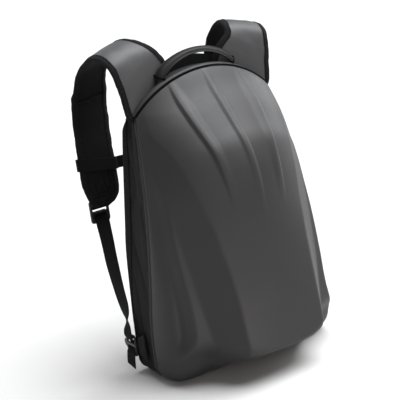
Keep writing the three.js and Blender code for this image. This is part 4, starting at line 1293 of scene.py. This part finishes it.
def handle_slit_shade_welts():
    """Welt round the slit that each foot of the handle goes into, higher at the rear, near-black as painted
    shade of the slit
    """
    mid, across, out, half = handle_path()
    angle = np.linspace(0, 2 * math.pi, WELT["places"], endpoint=False)
    wide = boxed(np.cos(angle), WELT["across"])
    thick = boxed(np.sin(angle), WELT["out"]) * WELT["half"]
    steps = WELT["step"] + WELT["slant"] * (wide + 1) / 2
    rows = np.arange(len(mid))
    rings = []
    for spots in (steps, rows[-1] - steps):
        at_mid, at_across, at_out = (interpolated(spots, rows, way) for way in (mid, across, out))
        reach = wide * (np.interp(spots, rows, half) + WELT["past"])
        place = at_mid + at_across * reach[:, None] + at_out * thick[:, None]
        first = unit(place - place.mean(0))
        second = unit(np.cross(np.gradient(place, axis=0), first))
        rings.append(tube(place, first, second, WELT["radius"], joined=True))
    return merged(*rings)


handle = add_piece("padded_handle", handle_shape(), "coated", ["grab_handle"], look="handle")
add_piece("handle_stitches", handle_stitches(), "webbing")
# Welts in the near-black cord look: painted shade of the slits at the handle's feet
add_piece("handle_slit_shade_welts", handle_slit_shade_welts(), "webbing", look="cord")


# Webbing, loops and buckles


def webbing_shape():
    rows = {**WEBBING, "at": np.arange(len(WEBBING["x"]))}
    last = rows["at"][-1]
    mids = curve(points_of(WEBBING), WEBBING_STEPS * last)
    turn = np.radians(column(rows, "at", "turn")(np.linspace(0, last, len(mids))))
    hints = np.c_[np.cos(turn), -np.sin(turn), np.zeros_like(turn)]
    return ribbon(mids, hints, WEBBING_WIDTH, WEBBING_THICK)


def tip_loop_shape():
    rows = {**TIP_LOOP, "x": np.full_like(TIP_LOOP["y"], LOCK["x"])}
    mids = curve(points_of(rows), TIP_LOOP_STEPS)
    return ribbon(mids, np.broadcast_to((1.0, 0, 0), mids.shape), TIP_LOOP_WIDTH, TIP_LOOP_THICK)


def rounded_rectangle(left, low, right, high, radius):
    corners = ((right, low, -90), (right, high, 0), (left, high, 90), (left, low, 180))
    points = []
    for x, y, start in corners:
        cx = x - math.copysign(radius, x - (left + right) / 2)
        cy = y - math.copysign(radius, y - (low + high) / 2)
        for angle in np.radians(start + np.linspace(0, 90, CORNER_POINTS)):
            points.append((cx + radius * math.cos(angle), cy + radius * math.sin(angle)))
    return points


def moulded_plate(outlines, thick, rounding, place):
    """Plate with rounded edges from an outline and its holes, set in the frame by a 4x4 matrix"""
    data = bpy.data.curves.new("plate", "CURVE")
    data.dimensions = "2D"
    data.fill_mode = "BOTH"
    data.extrude = thick / 2 - rounding
    data.bevel_depth = rounding
    data.bevel_resolution = PLATE_BEVEL_STEPS
    data.offset = -rounding
    for outline in outlines:
        spline = data.splines.new("POLY")
        spline.points.add(len(outline) - 1)
        level, weight = np.zeros(len(outline)), np.ones(len(outline))
        spline.points.foreach_set("co", np.c_[outline, level, weight].ravel())
        spline.use_cyclic_u = True
    holder = bpy.data.objects.new("plate", data)
    mesh = bpy.data.meshes.new_from_object(holder)
    work = bmesh.new()
    work.from_mesh(mesh)
    bmesh.ops.remove_doubles(work, verts=work.verts, dist=PLATE_WELD)
    points = np.array([place @ vertex.co for vertex in work.verts])
    faces = [[vertex.index for vertex in face.verts] for face in work.faces]
    work.free()
    bpy.data.objects.remove(holder)
    bpy.data.curves.remove(data)
    bpy.data.meshes.remove(mesh)
    return points, faces, np.zeros((sum(len(face) for face in faces), 2))


def frame_outline(size):
    half = size["width"] / 2
    return rounded_rectangle(-half, 0, half, size["height"], size["corner"])


def slotted_frame(size, outline, slots, place):
    """Moulded frame of a buckle with its slots"""
    holes = [
        rounded_rectangle(-slot["half"], slot["low"], slot["half"], slot["high"], SLOT_CORNER)
        for slot in slots
    ]
    where = place(size["x"], size["y"], size["bottom"])
    return moulded_plate([outline, *holes], size["thick"], size["edge"], where)


def upright(x, y, z):
    """Places a plate's own width along X and its height along Z"""
    return Matrix.Translation((x, y, z)) @ Matrix.Rotation(math.pi / 2, 4, "X")


def sideways(x, y, z):
    """Places a plate's own width along Y and its height along Z"""
    return Matrix.Translation((x, y, z)) @ Matrix(((0, 0, 1, 0), (1, 0, 0, 0), (0, 1, 0, 0), (0, 0, 0, 1)))


def adjuster():
    """Frame with two slots and a rounded thumb tab on its rear side"""
    half, middle = ADJUSTER["width"] / 2, ADJUSTER["height"] / 2
    swing = np.linspace(-math.pi / 2, math.pi / 2, THUMB_POINTS)
    thumb = [(half + THUMB_REACH * math.cos(a), middle + THUMB_HEIGHT / 2 * math.sin(a)) for a in swing]
    outline = frame_outline(ADJUSTER)
    outline[CORNER_POINTS:CORNER_POINTS] = thumb
    return slotted_frame(ADJUSTER, outline, ADJUSTER_SLOTS, sideways)


def wing_tab():
    """Folded cloth triangle sewn between the gusset and the adjuster, puffed between its edges"""
    t = np.linspace(0, 1, WING_ROWS)[:, None]
    s = np.linspace(0, 1, WING_COLUMNS)[None]
    y = WING["front"] + (WING["back"] - WING["front"]) * t + 0 * s
    low = WING["low"] + (WING["tip_low"] - WING["low"]) * t
    high = WING["high"] + (WING["tip_high"] - WING["high"]) * t
    z = low + (high - low) * s
    ends, hem = WING_PUFF["ends"], WING_PUFF["hem"]
    full = np.sqrt(np.clip(4 * t * (1 - t) + WING_PUFF["lift"], 0, 1))
    puff = (4 * s * (1 - s)) ** WING_PUFF["power"] * (ends + (1 - ends) * full)
    noise = value_noise(y / WING_CRUMPLE["along"], z / WING_CRUMPLE["up"], WING_CRUMPLE["seed"])
    crumple = WING_CRUMPLE["size"] * (noise - 0.5)
    half = WING["thick"] / 2
    middle = WING["x"] + half
    rise = half * (hem + (1 - hem) * puff)
    outer = np.stack([middle + rise + crumple * puff, y, z], -1)
    inner = np.stack([middle - rise, y, z], -1)
    return cloth_wall(outer, inner, [2, 1])


def chest_place():
    """Place on the strap that carries the chest band"""
    i = int(np.argmin(np.abs(LEFT["mid"][:, 2] - CHEST_Z)))
    return {key: LEFT[key][i] for key in ("mid", "across", "along", "out", "half", "thick")}


def chest_loop():
    at = chest_place()
    a, b = at["half"] + BINDING_REACH, at["thick"] + GAP
    angle = np.linspace(0, 2 * math.pi, CHEST_LOOP["points"], endpoint=False)
    s = boxed(np.cos(angle), CHEST_LOOP["across"]) * (a + CHEST_THICK / 2)
    u = boxed(np.sin(angle), CHEST_LOOP["out"]) * (b + CHEST_THICK / 2)
    slant = -(CHEST_SLANT / 2) * s / a
    mids = at["mid"] + np.outer(s, at["across"]) + np.outer(u, at["out"]) + np.outer(slant, at["along"])
    mids = np.vstack([mids, mids[:1]])
    hints = np.broadcast_to(at["along"], mids.shape)
    return ribbon(mids, hints, CHEST_WIDTH, CHEST_THICK)


def chest_web():
    at = chest_place()
    reach = at["half"] + BINDING_REACH + CHEST_THICK + GAP
    start = at["mid"] - at["across"] * reach + at["along"] * CHEST_SLANT / 2
    t = smooth(np.linspace(0, 1, CHEST_STEPS))
    x = np.linspace(start[0], CHEST_BUCKLE["width"] / 2 - CHEST_OVERLAP, CHEST_STEPS)
    mids = np.c_[x, start[1] + (CHEST_Y - start[1]) * t, start[2] - CHEST_SAG * t]
    return ribbon(mids, np.broadcast_to((0, 0, 1.0), mids.shape), CHEST_WIDTH, CHEST_THICK)


def chest_buckle():
    """Closed side-release buckle: a socket, a plug with two side arms and a bar at each end"""
    half, high = CHEST_BUCKLE["width"] / 2, CHEST_BUCKLE["height"] / 2
    rim, corner = CHEST_BUCKLE["rim"], CHEST_BUCKLE["corner"]
    inside = rim + CHEST_BUCKLE["slot"]
    socket = [
        rounded_rectangle(-half, -high, CHEST_BUCKLE["socket"], high, corner),
        rounded_rectangle(rim - half, rim - high, inside - half, high - rim, SLOT_CORNER),
    ]
    plug = [
        rounded_rectangle(CHEST_BUCKLE["plug"], -high, half, high, corner),
        rounded_rectangle(half - inside, rim - high, half - rim, high - rim, SLOT_CORNER),
    ]
    edge = high - TONGUE["inset"]
    tongue = [rounded_rectangle(TONGUE["left"], -edge, TONGUE["right"], edge, TONGUE["corner"])]
    plates = [("socket", socket), ("plug", plug), ("inner", tongue)]
    for side in (ARM["inset"] - high, high - ARM["inset"]):
        low, top = side - ARM["half"], side + ARM["half"]
        plates.append(("inner", [rounded_rectangle(ARM["left"], low, ARM["right"], top, ARM["corner"])]))
    place = upright(0, CHEST_Y, chest_place()["mid"][2] - CHEST_SLANT / 2 - CHEST_SAG)
    parts = []
    for kind, outlines in plates:
        share, rounding = BUCKLE_PLATES[kind]
        parts.append(moulded_plate(outlines, CHEST_BUCKLE["thick"] * share, rounding, place))
    return merged(*parts)


add_pair("adjusting_webbing", webbing_shape(), "webbing", "webbing")
add_pair("tip_webbing", tip_loop_shape(), "webbing", "tip_loop")
ladder_lock = slotted_frame(LOCK, frame_outline(LOCK), LOCK_SLOTS, upright)
add_pair("ladder_buckle", ladder_lock, "plastic", "ladder_lock")
add_pair("adjuster_buckle", adjuster(), "plastic", "adjuster")
add_pair("wing_cloth", wing_tab(), "cloth", "wing_tab")
add_pair("chest_band", chest_loop(), "webbing", "sternum_loop")
add_pair("chest_webbing", chest_web(), "webbing", "sternum_web")
add_piece("chest_buckle", chest_buckle(), "plastic", ["sternum_buckle"])


# Floor, light and camera

# Side of the floor and how far it lies below the base (m)
FLOOR_SIZE = 1600
FLOOR_DROP = 0.0004
COOL, WARM = (0.965, 0.98, 1.0), (1.0, 0.94, 0.925)
LIGHTS = (
    {"name": "overhead_light", "strength": 7.4, "spread": 50, "from": (0.38, -0.2, 1.0), "colour": COOL},
    {"name": "front_light", "strength": 0.56, "spread": 40, "from": (-0.3, -1.0, 0.38), "colour": WARM},
    {"name": "right_light", "strength": 1.5, "spread": 30, "from": (1.0, 0.2, 0.35), "colour": COOL},
    {"name": "back_light", "strength": 1.0, "spread": 60, "from": (-0.2, 1.0, 0.35), "colour": COOL},
)
# Low panel in front of the shell (mm, watts)
PANEL = {"place": (-60, -440, 60), "aim": (0, -175, 110), "size": (260, 90), "power": 0.25}
WORLD_STRENGTH = 0.16


def add_floor():
    made = Surface("studio_floor", 0.8, specular=0.2)
    made.colour(made.noise(600, 2), (0.44, 0.435, 0.43), (0.455, 0.45, 0.445))
    mesh = bpy.data.meshes.new("studio_floor")
    side = FLOOR_SIZE / 2
    corners = [(x * side, y * side, -FLOOR_DROP) for x, y in ((-1, -1), (1, -1), (1, 1), (-1, 1))]
    mesh.from_pydata(corners, [], [(0, 1, 2, 3)])
    mesh.materials.append(made.material)
    floor = link_new("studio_floor", mesh)


def aim_light(data, way):
    light = link_new(data.name, data)
    light.rotation_euler = way.to_track_quat("Z", "Y").to_euler()
    return light


def add_lights():
    for row in LIGHTS:
        data = bpy.data.lights.new(row["name"], "SUN")
        data.color = row["colour"]
        data.energy = row["strength"]
        data.angle = math.radians(row["spread"])
        aim_light(data, Vector(row["from"]))
    data = bpy.data.lights.new("panel_light", "AREA")
    data.color = WARM
    data.energy = PANEL["power"]
    data.shape = "RECTANGLE"
    data.size, data.size_y = (side * MM for side in PANEL["size"])
    panel = aim_light(data, Vector(PANEL["place"]) - Vector(PANEL["aim"]))
    panel.location = Vector(PANEL["place"]) * MM


def add_surroundings():
    """Dim even light from all round, and a pale distance behind the floor"""
    world = bpy.data.worlds.new("studio_world")
    world.use_nodes = True
    tree = world.node_tree
    light = tree.nodes["Background"]
    light.inputs["Color"].default_value = (1, 1, 1, 1)
    light.inputs["Strength"].default_value = WORLD_STRENGTH
    distance = tree.nodes.new("ShaderNodeBackground")
    distance.inputs["Color"].default_value = (1, 1, 1, 1)
    seen = tree.nodes.new("ShaderNodeLightPath")
    mix = tree.nodes.new("ShaderNodeMixShader")
    tree.links.new(seen.outputs["Is Camera Ray"], mix.inputs["Fac"])
    tree.links.new(light.outputs["Background"], mix.inputs[1])
    tree.links.new(distance.outputs["Background"], mix.inputs[2])
    tree.links.new(mix.outputs["Shader"], tree.nodes["World Output"].inputs["Surface"])
    bpy.context.scene.world = world
    bpy.context.scene.view_settings.view_transform = "Standard"


def add_camera():
    azimuth, elevation, roll = (math.radians(VIEW[key]) for key in ("azimuth", "elevation", "roll"))
    right = np.array([math.cos(azimuth), math.sin(azimuth), 0])
    level = math.cos(elevation)
    back_way = np.array([math.sin(azimuth) * level, -math.cos(azimuth) * level, math.sin(elevation)])
    up = np.cross(back_way, right)
    turned_right = math.cos(roll) * right - math.sin(roll) * up
    turned_up = math.sin(roll) * right + math.cos(roll) * up
    place = (np.array(VIEW["target"]) + VIEW["distance"] * back_way) * MM
    data = bpy.data.cameras.new("photo_camera")
    data.lens = VIEW["lens"]
    data.sensor_width = VIEW["sensor"]
    data.sensor_fit = "HORIZONTAL"
    camera = link_new("photo_camera", data)
    axes = np.c_[turned_right, turned_up, back_way, place]
    camera.matrix_world = Matrix([*axes.tolist(), [0, 0, 0, 1]])
    bpy.context.scene.camera = camera


add_floor()
add_lights()
add_surroundings()
add_camera()
